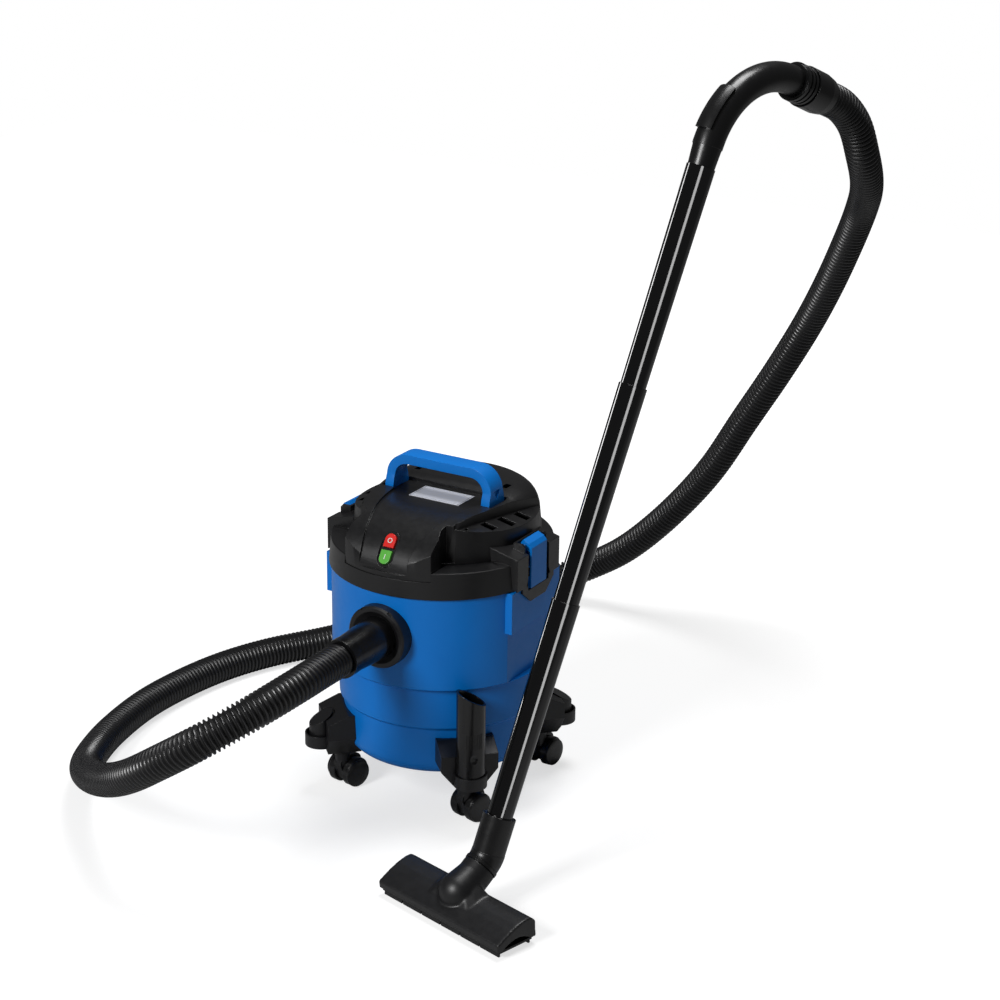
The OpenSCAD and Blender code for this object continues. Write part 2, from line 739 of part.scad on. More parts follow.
module head_base() {
  color("black") difference() {
    union() {
      difference() {
        rotate_extrude() polygon([
          [skirt_in, skirt_z], [skirt_r, skirt_z], [skirt_top_r, ledge_z - 1], [skirt_top_r - 1, ledge_z],
          [ledge_in, ledge_z], [ledge_in, plate_z + plate_t], [pot_in, plate_z + plate_t],
          [pot_in, seat_z], [seat_in, seat_z], [seat_in, pot_z + 3], [eye_r, pot_z + 3], [eye_r, pot_z],
          [pot_r, pot_z], [pot_r, plate_z], [skirt_in, plate_z]]);
        both_sides() {
          block([housing_x, -skirt_r, 0], [skirt_r + eps, skirt_r, 500]);
          block([pocket_x - eps, -pocket_half, plate_z + plate_t], [skirt_r, pocket_half, 500]);
          block([boss_x, -pocket_half, 0], [skirt_r, pocket_half, 500]);
        }
      }
      both_sides() buckle_housing();
    }
    difference() {
      translate([0, 0, skirt_z - eps]) cylinder(r = skirt_in, h = plate_z - skirt_z + eps);
      both_sides() block([boss_x + move_gap, -skirt_r, 0], [skirt_r, skirt_r, 500]);
      translate([0, 0, pot_z - eps]) cylinder(r = pot_r + 1, h = 100);
    }
    block([-tongue_half - seat_gap, -skirt_r - eps, tongue_z - seat_gap], [tongue_half + seat_gap, -100, ledge_z + eps]);
    for (p = boss_places)
      translate([p[0], p[1], plate_z - eps]) cylinder(r = screw_r + seat_gap, h = 10);
  }
}

module head_screws() {
  color("silver") for (p = boss_places) translate([p[0], p[1], 0]) {
    translate([0, 0, plate_z - 2.4]) cylinder(r = 2 * screw_r, h = 2.4);
    translate([0, 0, plate_z]) cylinder(r = screw_r, h = 21);
  }
}

module carry_handle() {
  inner_half = handle_half - handle_t;
  top_z = handle_z + handle_h;
  inner_round = handle_round - handle_t;
  outer_right = concat([[handle_half, handle_z]],
    arc(handle_half - handle_round, top_z - handle_round, handle_round, 0, 90));
  inner_right = concat([[inner_half, handle_z - 1]],
    arc(inner_half - inner_round, top_z - handle_t - inner_round, inner_round, 0, 90));
  rear_y = handle_mid_y + handle_w / 2;
  front_y = handle_mid_y - handle_w / 2;
  color("royalblue") difference() {
    intersection() {
      front_extrude(handle_mid_y - foot_w / 2, handle_mid_y + foot_w / 2) difference() {
        polygon(concat(outer_right, flipped(outer_right)));
        polygon(concat(inner_right, flipped(inner_right)));
      }
      side_extrude(-handle_half, handle_half) polygon(concat(
        [[handle_mid_y - foot_w / 2, handle_z], [handle_mid_y + foot_w / 2, handle_z],
         [handle_mid_y + foot_w / 2 - 1, handle_z + 9], [rear_y, handle_z + 18]],
        arc(rear_y - 4, top_z - 4, 4, 0, 90, 4),
        arc(front_y + 4, top_z - 4, 4, 90, 180, 4),
        [[front_y, handle_z + 18], [handle_mid_y - foot_w / 2 + 1, handle_z + 9]]));
    }
    both_sides() {
      side_extrude(handle_half - 2.5, handle_half + eps) polygon([
        [handle_mid_y - 7, handle_z + 19], [handle_mid_y + 7, handle_z + 19], [handle_mid_y, handle_z + 7]]);
      translate([handle_half - handle_t / 2, handle_mid_y, handle_z - eps]) cylinder(r = 2.5, h = 12 + eps);
    }
  }
}

module handle_screws() {
  under_z = deck_z - panel_depth - shell;
  color("silver") both_sides() translate([handle_half - handle_t / 2, handle_mid_y, 0]) {
    translate([0, 0, under_z - 3]) cylinder(r = 4, h = 3);
    translate([0, 0, under_z]) cylinder(r = 2.5, h = handle_z + 11 - under_z);
  }
}

module label_plate() {
  color("lightgray") block([-34, -24, handle_z], [38, 14, handle_z + 0.6]);
}

module cable_gland() {
  color("dimgray") translate([0, cover_r - 10, ledge_z + 15]) rotate([-90, 0, 0]) difference() {
    union() {
      cylinder(r = 6, h = 14);
      translate([0, 0, 9]) cylinder(r1 = 8, r2 = 5.5, h = 14);
      cylinder(r = 8, h = 2.5);
    }
    translate([0, 0, -eps]) cylinder(r = 3.6, h = 30);
  }
}

// ---------------------------------------------------------------- switch

well_w = bezel_w - 2 * bezel_rim;

// Half of a stadium: one button's outline, on the side given by up
module button_plan(up, shrink) {
  w = well_w - 2 * shrink;
  intersection() {
    hull() {
      translate([0, (bezel_len - bezel_w) / 2]) circle(d = w);
      translate([0, (bezel_w - bezel_len) / 2]) circle(d = w);
    }
    translate([-w, up > 0 ? bezel_rim / 2 + shrink : -bezel_len]) square([2 * w, bezel_len - bezel_rim / 2 - shrink]);
  }
}

module switch_bezel() {
  color("black") at_switch() translate([0, 0, -bezel_depth]) difference() {
    stadium(bezel_w, bezel_len, bezel_depth + bezel_proud);
    for (up = [-1, 1])
      translate([0, 0, -eps]) linear_extrude(bezel_depth + bezel_proud + 2 * eps) button_plan(up, 0);
  }
}

module button(up) {
  foot = button_travel + 0.5 - bezel_depth;
  at_switch() translate([0, 0, foot]) linear_extrude(button_proud - foot) button_plan(up, button_gap);
}

module red_button() {
  color("red") button(1);
}

module green_button() {
  color("limegreen") button(-1);
}

module switch_block() {
  color("dimgray") at_switch() translate([-well_w / 2, -bezel_len / 2 + 3, -bezel_depth - 12])
    cube([well_w, bezel_len - 6, 12]);
}

// ---------------------------------------------------------------- motor and filter

module motor() {
  color("gray") difference() {
    union() {
      translate([0, 0, motor_z]) cylinder(r = pot_in - seat_gap, h = motor_plate_t);
      translate([0, 0, motor_z]) cylinder(r = motor_r, h = motor_h);
      translate([0, 0, motor_z]) cylinder(r = motor_r - 14, h = motor_h + 8);
    }
    translate([0, 0, motor_z - eps]) cylinder(r = shaft_r + run_gap, h = motor_h - 14);
    for (a = [0:45:315])
      rotate([0, 0, a]) block([motor_r - 5, -4, motor_z + motor_plate_t + 6], [motor_r + eps, 4, motor_z + motor_h - 12]);
  }
}

module motor_gasket() {
  color("black") translate([0, 0, seat_z]) tube(pot_in - seat_gap, seat_in, motor_gasket_h);
}

module fan() {
  disc_t = 1.6;
  color("silver") union() {
    translate([0, 0, fan_z]) tube(fan_r, eye_r, disc_t);
    translate([0, 0, fan_z + fan_h - disc_t]) cylinder(r = fan_r, h = disc_t);
    translate([0, 0, fan_z]) cylinder(r = shaft_r + 4, h = fan_h);
    translate([0, 0, fan_z]) cylinder(r = shaft_r, h = motor_z + motor_h - 18 - fan_z);
    for (i = [0:blade_count - 1])
      rotate([0, 0, i * 360 / blade_count]) translate([eye_r + 2, 0, fan_z + 0.5]) rotate([0, 0, 28])
        cube([fan_r - eye_r - 6, 1.6, fan_h - 1]);
  }
}

module float_cage() {
  window_count = 8;
  color("black") difference() {
    union() {
      translate([0, 0, cage_z]) cylinder(r = cage_r, h = cage_h);
      translate([0, 0, pot_z - 3]) cylinder(r = pot_r - 4, h = 3);
    }
    translate([0, 0, cage_z + 3]) cylinder(r = cage_r - cage_wall, h = cage_h - 6);
    translate([0, 0, pot_z - 4]) cylinder(r = eye_r, h = 5);
    for (i = [0:window_count - 1])
      rotate([0, 0, i * 360 / window_count]) block([cage_r - 6, -6, cage_z + 8], [cage_r + eps, 6, pot_z - 10]);
  }
}

module float() {
  color("orange") translate([0, 0, cage_z + 3 + float_gap]) {
    cylinder(r = float_r, h = float_h - 7);
    translate([0, 0, float_h - 7]) cylinder(r1 = float_r, r2 = float_r - 9, h = 7);
  }
}

module filter_sleeve() {
  color("darkslategray") translate([0, 0, cage_z + 3])
    tube(cage_r + 0.3 + foam_t, cage_r + 0.3, cage_h - 6.5);
}

module filter_band() {
  color("dimgray") translate([0, 0, cage_z + 9]) tube(cage_r + foam_t + 2, cage_r + foam_t + 0.3, 6);
}

// ---------------------------------------------------------------- buckles

// Right-hand buckle: an outer plate, a sloping top and an inner lip, with a rib between
module buckle() {
  t = 2.5;
  out = housing_x + 0.5;
  low = pocket_z + 1;
  top = low + buckle_h;
  color("royalblue") difference() {
    union() {
      front_extrude(-buckle_w / 2, buckle_w / 2) polygon([
        [out - t, low], [out, low], [out, top - 9], [out - 4, top - 4], [pocket_x + 5, top],
        [pocket_x + 2, top - 4], [pocket_x + 2, plate_z + 13], [pocket_x + 2 + t, plate_z + 13],
        [pocket_x + 2 + t, top - t - 3], [out - 5, top - 4 - t], [out - t, top - 9],
        [out - t, plate_z + 11], [pocket_x + 6, plate_z + 11], [pocket_x + 6, plate_z + 8.5],
        [out - t, plate_z + 8.5]]);
      front_extrude(-7, 7) polygon([[out - t, low + 1], [out - t, low + 4], [out - t - 1.6, low + 3]]);
      for (y = [-buckle_w / 2, buckle_w / 2 - 4])
        front_extrude(y, y + 4) hull() {
          translate([pin_x, pin_z]) circle(r = pin_r + 2.5);
          translate([out - t - 1, pin_z - 7]) square([2, 5]);
        }
    }
    translate([pin_x, -buckle_w, pin_z]) rotate([-90, 0, 0]) cylinder(r = pin_r + run_gap, h = 2 * buckle_w);
  }
}

module buckle_right() {
  buckle();
}

module buckle_left() {
  mirror([1, 0, 0]) buckle();
}

module buckle_pins() {
  half = pocket_half + shell - 0.5;
  color("silver") both_sides() translate([pin_x, -half, pin_z])
    rotate([-90, 0, 0]) cylinder(r = pin_r, h = 2 * half);
}

// ---------------------------------------------------------------- wand and grip

// The upright plane that holds the nozzle, the wand and the grip: +Y points along the floor
module in_wand_plane() {
  translate([nozzle_x, nozzle_y, 0]) rotate([0, 0, -wand_turn]) children();
}

// Children with +Z along a line that rises from a point of that plane
module along(point, rise) {
  in_wand_plane() translate([0, point[0], point[1]]) rotate([rise - 90, 0, 0]) children();
}

// A bend in that plane: an outline swept round a centre, from one angle through another
module swept(centre, from, sweep) {
  in_wand_plane() translate([0, centre[0], centre[1]]) rotate([90, 0, 90]) rotate([0, 0, from])
    rotate_extrude(angle = sweep) children();
}

// A hollow bend in that plane
module bend(centre, from, sweep, radius, outer, inner) {
  swept(centre, from, sweep) translate([radius, 0]) difference() {
    circle(r = outer);
    circle(r = inner);
  }
}

function tube_radius(s) = tube_r0 + (tube_r1 - tube_r0) * s / tube_len;

// Tube number i, counted from the floor; its wide upper end takes the next one
module wand_tube(i) {
  color("black") along(rim, wand_rise) translate([0, 0, i * tube_pitch - tube_fit]) difference() {
    cylinder(r1 = tube_r0, r2 = tube_r1, h = tube_len);
    translate([0, 0, -eps]) cylinder(
      r1 = tube_radius(-eps) - tube_wall, r2 = tube_radius(tube_len + eps) - tube_wall, h = tube_len + 2 * eps);
  }
}

module wand_lower() {
  wand_tube(0);
}

module wand_middle() {
  wand_tube(1);
}

module wand_upper() {
  wand_tube(2);
}

module hand_grip() {
  root_r = tube_radius(tube_fit);
  straight_bore = grip_bore + bend_lip;
  color("black") {
    along(rim, wand_rise) translate([0, 0, 3 * tube_pitch - tube_fit]) rotate_extrude() polygon([
      [tube_r0 - 2.5, 0], [tube_r0, 0], [root_r, tube_fit], [root_r + 0.6, tube_fit],
      [grip_r - 0.8, tube_fit + sleeve_len], [straight_bore, tube_fit + sleeve_len]]);
    difference() {
      bend(grip_mid, 90 + wand_rise, -grip_sweep, grip_bend, grip_r, grip_bore);
      swept(grip_mid, 90 + wand_rise - 13, -6) translate([grip_bend + grip_bore - 1, -4]) square([10, 8]);
    }
    along(grip_end, wand_rise - 90) rotate_extrude() polygon([
      [straight_bore, 0], [grip_r - bend_lip, 0], [grip_r - bend_lip, 2], [journal_r, 2],
      [journal_r, journal_len], [straight_bore, journal_len]]);
  }
}

// Cover that slides along the grip's back and opens its bleed hole
module bleed_slider() {
  inner = grip_r + move_gap;
  color("black") swept(grip_mid, 90 + wand_rise - 8, -26) translate([grip_bend, 0]) intersection() {
    difference() {
      circle(r = inner + 3.4);
      circle(r = inner);
    }
    polygon([[0, 0], [40, -26], [40, 26]]);
  }
}

module swivel_collar() {
  rib_count = 3;
  rib_pitch = collar_len / rib_count;
  color("black") along(grip_end, wand_rise - 90) translate([0, 0, 2]) difference() {
    union() {
      cylinder(r = cuff_r - 3.5, h = collar_len - move_gap);
      for (i = [0:rib_count - 1])
        translate([0, 0, i * rib_pitch + 1]) cylinder(r = cuff_r - 1.5, h = rib_pitch - 3);
    }
    translate([0, 0, -eps]) cylinder(r = journal_r + seat_gap, h = collar_len + 2 * eps);
  }
}

module hose_cuff() {
  color("black") along(grip_end, wand_rise - 90) translate([0, 0, collar_len + 2]) difference() {
    union() {
      cylinder(r = cuff_r, h = cuff_len - 12);
      translate([0, 0, cuff_len - 12]) cylinder(r1 = cuff_r, r2 = cuff_r - 2, h = 12);
    }
    translate([0, 0, -eps]) cylinder(r = journal_r + 0.08, h = cuff_len - 12);
    translate([0, 0, -eps]) cylinder(r = hose_d / 2 - 4, h = cuff_len + 2 * eps);
  }
}

// ---------------------------------------------------------------- floor nozzle

module nozzle_elbow() {
  plug_len = 18;
  inner = neck_bore - 2.5;
  step = socket_len - tube_fit;
  color("black") {
    along(elbow_out, wand_rise) rotate_extrude() polygon([
      [inner + bend_lip, 0], [elbow_r - bend_lip, 0], [elbow_r - bend_lip, socket_len],
      [tube_radius(tube_fit) + 0.02, socket_len], [tube_r0 + 0.02, step], [inner + bend_lip, step]]);
    bend(elbow_mid, neck_rise - 90, elbow_turn, elbow_bend, elbow_r, inner);
    along(elbow_in, neck_rise) translate([0, 0, -plug_len])
      tube(neck_bore - run_gap, inner + bend_lip, plug_len);
  }
}

neck_ring_h = 4;

module neck_ring() {
  color("black") along(seam, neck_rise) translate([0, 0, -neck_ring_h])
    tube(neck_r + 0.4, neck_bore, neck_ring_h);
}

// Side view of the floor nozzle
module nozzle_side(inset) {
  polygon(concat(
    [[1 + inset, 8 - (inset > 0 ? 1 : 0)], [inset, 17 - inset]],
    [for (t = [0:0.2:1]) [inset + (50 - inset) * t, 18 + 18 * sin(90 * t) - inset]],
    [[58 - inset, 30 - inset / 2], [60 - inset, 8 - (inset > 0 ? 1 : 0)]]));
}

module nozzle_shell() {
  neck_len = 40;
  neck_foot = seam - neck_len * [cos(neck_rise), sin(neck_rise)];
  half = nozzle_w / 2;
  color("black") difference() {
    union() {
      in_wand_plane() side_extrude(-half, half) nozzle_side(0);
      along(neck_foot, neck_rise) cylinder(r = neck_r, h = neck_len - neck_ring_h);
      hull() {
        along(neck_foot, neck_rise) translate([0, 0, 10]) cylinder(r = neck_r - 0.5, h = 6, $fn = 32);
        in_wand_plane() side_extrude(-38, 38) polygon([[12, 20], [40, 20], [50, 34], [26, 28]]);
      }
    }
    in_wand_plane() side_extrude(2.5 - half, half - 2.5) nozzle_side(2.5);
    in_wand_plane() side_extrude(-half - eps, half + eps) translate([30, -18]) circle(r = 34);
    intersection() {
      along(neck_foot, neck_rise) translate([0, 0, -6]) cylinder(r = neck_bore, h = neck_len + 8);
      in_wand_plane() side_extrude(-half, half) polygon([[4, 0], [4, 8], [29, 26], [38.5, 53], [60, 90], [120, 90], [60, 0]]);
    }
    block([-900, -900, -200], [900, 900, 7.9]);
  }
}

module nozzle_sole() {
  half = nozzle_w / 2 - 3;
  color("dimgray") in_wand_plane() difference() {
    block([-half, 4.5, 5], [half, 55.5, 8]);
    block([20 - half, 18, 4], [half - 20, 42, 9]);
  }
}

// A row of bristle strips across the nozzle
module brush(y) {
  gap = 2;
  pitch = (nozzle_w - 8) / strip_count;
  color("black") in_wand_plane() for (i = [0:strip_count - 1])
    block([4 - nozzle_w / 2 + i * pitch + gap / 2, y, 0], [4 - nozzle_w / 2 + (i + 1) * pitch - gap / 2, y + 2.5, 5]);
}

module front_brush() {
  brush(5.5);
}

module rear_brush() {
  brush(52);
}

// ---------------------------------------------------------------- hose

function unit(v) = v / norm(v);

// Direction of a path at its point i
function heading(path, i) = unit(path[min(i + 1, len(path) - 1)] - path[max(i - 1, 0)]);

// Sideways directions carried along a path without twisting
function sideways(path) = [
  for (i = 0, n = unit(cross(heading(path, 0), [0, 0, 1])); i < len(path);
       i = i + 1,
       h = heading(path, min(i, len(path) - 1)),
       n = unit(n - (n * h) * h)) n];

module hose() {
  radius = hose_d / 2;
  side_dirs = sideways(hose_path);
  rings = len(hose_path);
  points = [for (i = [0:rings - 1], j = [0:hose_sides - 1])
    let (h = heading(hose_path, i), a = 360 * j / hose_sides)
    hose_path[i] + radius * (cos(a) * side_dirs[i] + sin(a) * cross(h, side_dirs[i]))];
  walls = [for (i = [0:rings - 2], j = [0:hose_sides - 1])
    let (a = i * hose_sides + j, b = i * hose_sides + (j + 1) % hose_sides)
    [a, a + hose_sides, b + hose_sides, b]];
  start = [for (j = [0:hose_sides - 1]) j];
  end = [for (j = [hose_sides - 1:-1:0]) (rings - 1) * hose_sides + j];
  color("black") polyhedron(points, concat([start], walls, [end]));
}

// ---------------------------------------------------------------- nodes

tank();
tank_gasket();
inlet_flange();
inlet_deflector();
tool_mount("front_left");  // tool_mount_front_left
tool_mount("front_right");  // tool_mount_front_right
tool_mount("rear_left");  // tool_mount_rear_left
tool_mount("rear_right");  // tool_mount_rear_right
mount_screws();
caster_fork("front_left");  // caster_fork_front_left
caster_fork("front_right");  // caster_fork_front_right
caster_fork("rear_left");  // caster_fork_rear_left
caster_fork("rear_right");  // caster_fork_rear_right
caster_axle("front_left");  // caster_axle_front_left
caster_axle("front_right");  // caster_axle_front_right
caster_axle("rear_left");  // caster_axle_rear_left
caster_axle("rear_right");  // caster_axle_rear_right
caster_wheels("front_left");  // caster_wheels_front_left
caster_wheels("front_right");  // caster_wheels_front_right
caster_wheels("rear_left");  // caster_wheels_rear_left
caster_wheels("rear_right");  // caster_wheels_rear_right
crevice_tool();
head_base();
head_cover();
head_screws();
carry_handle();
handle_screws();
label_plate();
switch_bezel();
red_button();
green_button();
switch_block();
motor();
motor_gasket();
fan();
float_cage();
float();
filter_sleeve();
filter_band();
cable_gland();
buckle_left();
buckle_right();
buckle_pins();
hose_connector();
hose();
hose_cuff();
swivel_collar();
wand_lower();
wand_middle();
wand_upper();
hand_grip();
bleed_slider();
nozzle_elbow();
neck_ring();
nozzle_shell();
nozzle_sole();
front_brush();
rear_brush();
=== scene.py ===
# A wet-and-dry shop vacuum, dressed in the order in which it is put together: tank, inlet,
# tool mounts and casters, motor head, switch, motor, buckles, hose, wand and floor nozzle.
import math

import bmesh
import bpy
from mathutils import Matrix, Vector


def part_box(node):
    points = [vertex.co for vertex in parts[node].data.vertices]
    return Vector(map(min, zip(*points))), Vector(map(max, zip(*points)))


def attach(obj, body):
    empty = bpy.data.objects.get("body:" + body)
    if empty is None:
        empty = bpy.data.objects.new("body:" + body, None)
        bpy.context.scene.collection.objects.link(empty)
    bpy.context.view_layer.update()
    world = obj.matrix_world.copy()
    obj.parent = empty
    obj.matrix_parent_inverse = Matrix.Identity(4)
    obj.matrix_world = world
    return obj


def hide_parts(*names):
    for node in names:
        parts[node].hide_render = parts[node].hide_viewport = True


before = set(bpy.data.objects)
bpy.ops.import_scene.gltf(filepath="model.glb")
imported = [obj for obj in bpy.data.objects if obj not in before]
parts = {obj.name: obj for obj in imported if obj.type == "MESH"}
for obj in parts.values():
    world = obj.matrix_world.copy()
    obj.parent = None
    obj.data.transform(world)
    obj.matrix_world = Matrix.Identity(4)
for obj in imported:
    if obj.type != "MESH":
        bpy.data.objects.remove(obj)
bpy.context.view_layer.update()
MM = 0.001

# ---------------------------------------------------------------- tank
# The tank is an open drum of blue ABS, injection moulded 3 mm thick, with two step lines and
# a flat boss under each buckle. The mould was polished and lightly blasted, which gives the
# blue a satin sheen with soft, broad highlights.


def linear(code):
    """An sRGB hex colour as the linear colour that a shader takes."""
    channels = [int(code[i:i + 2], 16) / 255 for i in (1, 3, 5)]
    return [c / 12.92 if c <= 0.04045 else ((c + 0.055) / 1.055) ** 2.4 for c in channels] + [1.0]


def add(tree, kind, inputs=(), **settings):
    """Adds a node, sets its settings, and fills or links its inputs."""
    node = tree.nodes.new(kind)
    for name, value in settings.items():
        setattr(node, name, value)
    for socket, value in dict(inputs).items():
        if isinstance(value, bpy.types.NodeSocket):
            tree.links.new(value, node.inputs[socket])
        else:
            node.inputs[socket].default_value = value
    return node


# A Mix node that mixes colours has its two colours and its result at these sockets.
COLOUR_A, COLOUR_B, MIXED = 6, 7, 2


def new_material(name, **surface):
    """A material with its Principled shader's plain inputs set, and the shader."""
    material = bpy.data.materials.new(name)
    material.use_nodes = True
    shader = material.node_tree.nodes["Principled BSDF"]
    for socket, value in surface.items():
        shader.inputs[socket.replace("_", " ").capitalize()].default_value = value
    return material, shader


def moulded(name, colour, deep, rough, grain, depth, edge, ior=1.49):
    """A moulded plastic: two close shades, an uneven sheen, spark-eroded grain, soft edges.

    grain is the size of the mould's texture, depth its height and edge the rounding of the
    mould's edges, all in millimetres.
    """
    material, shader = new_material(name)
    tree = material.node_tree
    shader.inputs["IOR"].default_value = ior
    place = add(tree, "ShaderNodeTexCoord").outputs["Object"]
    cloud = add(tree, "ShaderNodeTexNoise",
                {"Vector": place, "Scale": 1 / (45 * MM), "Detail": 3.0, "Roughness": 0.6})
    tone = add(tree, "ShaderNodeMix",
               {0: cloud.outputs["Fac"], COLOUR_A: linear(colour), COLOUR_B: linear(deep)},
               data_type="RGBA")
    tree.links.new(tone.outputs[MIXED], shader.inputs["Base Color"])
    sheen = add(tree, "ShaderNodeTexNoise",
                {"Vector": place, "Scale": 1 / (9 * MM), "Detail": 4.0, "Roughness": 0.55})
    spread = add(tree, "ShaderNodeMapRange",
                 {"Value": sheen.outputs["Fac"], "From Min": 0.3, "From Max": 0.7,
                  "To Min": rough - 0.035, "To Max": rough + 0.035})
    tree.links.new(spread.outputs["Result"], shader.inputs["Roughness"])
    soft = add(tree, "ShaderNodeBevel", {"Radius": edge * MM}, samples=4)
    pits = add(tree, "ShaderNodeTexNoise",
               {"Vector": place, "Scale": 1 / (grain * MM), "Detail": 2.0, "Roughness": 0.5})
    bump = add(tree, "ShaderNodeBump",
               {"Height": pits.outputs["Fac"], "Distance": depth * MM, "Strength": 1.0,
                "Normal": soft.outputs["Normal"]})
    tree.links.new(bump.outputs["Normal"], shader.inputs["Normal"])
    return material


def finish(material, *names):
    """Gives solids their material."""
    for name in names:
        slots = parts[name].data.materials
        slots.clear()
        slots.append(material)


blue_abs = moulded("blue satin ABS", "#0076d0", "#006ec6", 0.38, 0.9, 0.012, 0.9, ior=1.36)
finish(blue_abs, "tank")

# The gasket under the head is a soft black EPDM ring: dull, with no grain.
epdm = moulded("EPDM rubber", "#141415", "#0f0f10", 0.70, 1.5, 0.02, 0.4, ior=1.52)
finish(epdm, "tank_gasket")

# ---------------------------------------------------------------- inlet
# The flange and the deflector behind it are black polypropylene, screwed into the drum. The
# mould was spark-eroded, so the face scatters light and looks dark grey under a lamp.
black_pp = moulded("black grained polypropylene", "#111113", "#0d0d0f", 0.42, 0.8, 0.03, 0.8)
finish(black_pp, "inlet_deflector")

# The forms below are made by joining and cutting plain blocks, as a mould is. Outlines are
# lists of points in millimetres.


def placed(name, data):
    """A new object in the scene that holds a mesh, a lamp or a camera."""
    piece = bpy.data.objects.new(name, data)
    bpy.context.scene.collection.objects.link(piece)
    return piece


def solid(verts, faces):
    """A closed loose mesh object, from points in millimetres."""
    mesh = bpy.data.meshes.new("form")
    mesh.from_pydata([Vector(v) * MM for v in verts], [], faces)
    form = bmesh.new()
    form.from_mesh(mesh)
    bmesh.ops.recalc_face_normals(form, faces=form.faces)
    form.to_mesh(mesh)
    form.free()
    return placed("form", mesh)


def prism(axis, outline, low, high):
    """An outline pushed along an axis; it lies in (Y, Z), (X, Z) or (X, Y)."""
    place = {"X": lambda p, h: (h, p[0], p[1]), "Y": lambda p, h: (p[0], h, p[1]),
             "Z": lambda p, h: (p[0], p[1], h)}[axis]
    n = len(outline)
    sides = [(i, (i + 1) % n, n + (i + 1) % n, n + i) for i in range(n)]
    return solid([place(p, h) for h in (low, high) for p in outline],
                 [tuple(range(n)), tuple(range(n, 2 * n))] + sides)


def block(low, high):
    (x0, y0, z0), (x1, y1, z1) = low, high
    return prism("Z", [(x0, y0), (x1, y0), (x1, y1), (x0, y1)], z0, z1)


def turned(profile, centre_y=0.0, sides=144):
    """An outline in (radius, Z), turned about an upright axis at (0, centre_y)."""
    verts, rings, faces = [], [], []
    for r, z in profile:
        if r <= 0:
            rings.append([len(verts)] * sides)
            verts.append((0, centre_y, z))
        else:
            rings.append(list(range(len(verts), len(verts) + sides)))
            verts += [(r * math.cos(2 * math.pi * j / sides),
                       centre_y + r * math.sin(2 * math.pi * j / sides), z) for j in range(sides)]
    for a, b in zip(rings, rings[1:] + rings[:1]):
        for j in range(sides):
            k = (j + 1) % sides
            corners = list(dict.fromkeys((a[j], a[k], b[k], b[j])))
            if len(corners) > 2:
                faces.append(tuple(corners))
    return solid(verts, faces)


def baked(form):
    """Turns a form's modifiers into its own mesh."""
    bpy.context.view_layer.update()
    ready = form.evaluated_get(bpy.context.evaluated_depsgraph_get())
    mesh = bpy.data.meshes.new_from_object(ready)
    form.modifiers.clear()
    form.data = mesh
    return form


def shaped(form, how, *tools):
    """Joins, cuts or limits a form by others, which are used up."""
    for tool in tools:
        step = form.modifiers.new("step", "BOOLEAN")
        step.operation, step.solver, step.object = how, "EXACT", tool
        baked(form)
        bpy.data.objects.remove(tool)
    return form


def smoothed(mesh, angle):
    """Smooth shading, but for the edges that are sharper than an angle in degrees."""
    mesh.polygons.foreach_set("use_smooth", [True] * len(mesh.polygons))
    mesh.set_sharp_from_angle(angle=math.radians(angle))


def settle(form, name, material, body, angle=35):
    """Makes a finished form a piece of the object, in place of the solid of that name."""
    form.name = form.data.name = "moulded_" + name
    mesh = form.data
    mesh.materials.clear()
    mesh.materials.append(material)
    smoothed(mesh, angle)
    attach(form, body)
    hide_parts(name)
    return form


# The inlet's flange is a thick ring with a shallow cone round the connector and two notches.
inlet_z, flange_y, flange_r, tank_r = 248.0, 152.5, 40.0, 139.0
ring = turned([(28, 117), (flange_r, 117), (flange_r, flange_y - 2), (38, flange_y),
               (33.5, flange_y), (28.5, flange_y - 4), (26.1, flange_y - 5),
               (26.1, flange_y - 9), (28, flange_y - 9)], sides=96)
sleeve = turned([(26.3, 127), (29.9, 127), (29.9, 143), (26.3, 143)], sides=96)
to_inlet = Matrix.Translation((0, 0, inlet_z * MM)) @ Matrix.Rotation(math.radians(90), 4, "X")
for form in (ring, sleeve):
    form.data.transform(to_inlet)
drum = turned([(0, 180), (tank_r + 0.1, 180), (tank_r + 0.1, 310), (0, 310)], sides=240)
shaped(ring, "DIFFERENCE", drum)
for angle in (60, 120):
    notch = block((flange_r - 2, -3.5, flange_y - 3.5), (flange_r + 2, 3.5, flange_y + 0.5))
    notch.data.transform(to_inlet @ Matrix.Rotation(math.radians(angle), 4, "Z"))
    shaped(ring, "DIFFERENCE", notch)
shaped(ring, "UNION", sleeve)
settle(ring, "inlet_flange", black_pp, "machine")

# ---------------------------------------------------------------- tool mounts and casters
# Four black polypropylene brackets are screwed under the drum. Each holds a twin-wheel
# caster on a steel stem and carries a spigot for a tool.
corners = ("front_left", "front_right", "rear_left", "rear_right")
finish(black_pp, *["tool_mount_" + c for c in corners], *["caster_fork_" + c for c in corners])

# The wheels are hard black polyamide, turned smooth on the tread.
polyamide = moulded("black polyamide", "#0e0e10", "#0b0b0c", 0.30, 0.7, 0.012, 0.7, ior=1.53)
finish(polyamide, *["caster_wheels_" + c for c in corners])


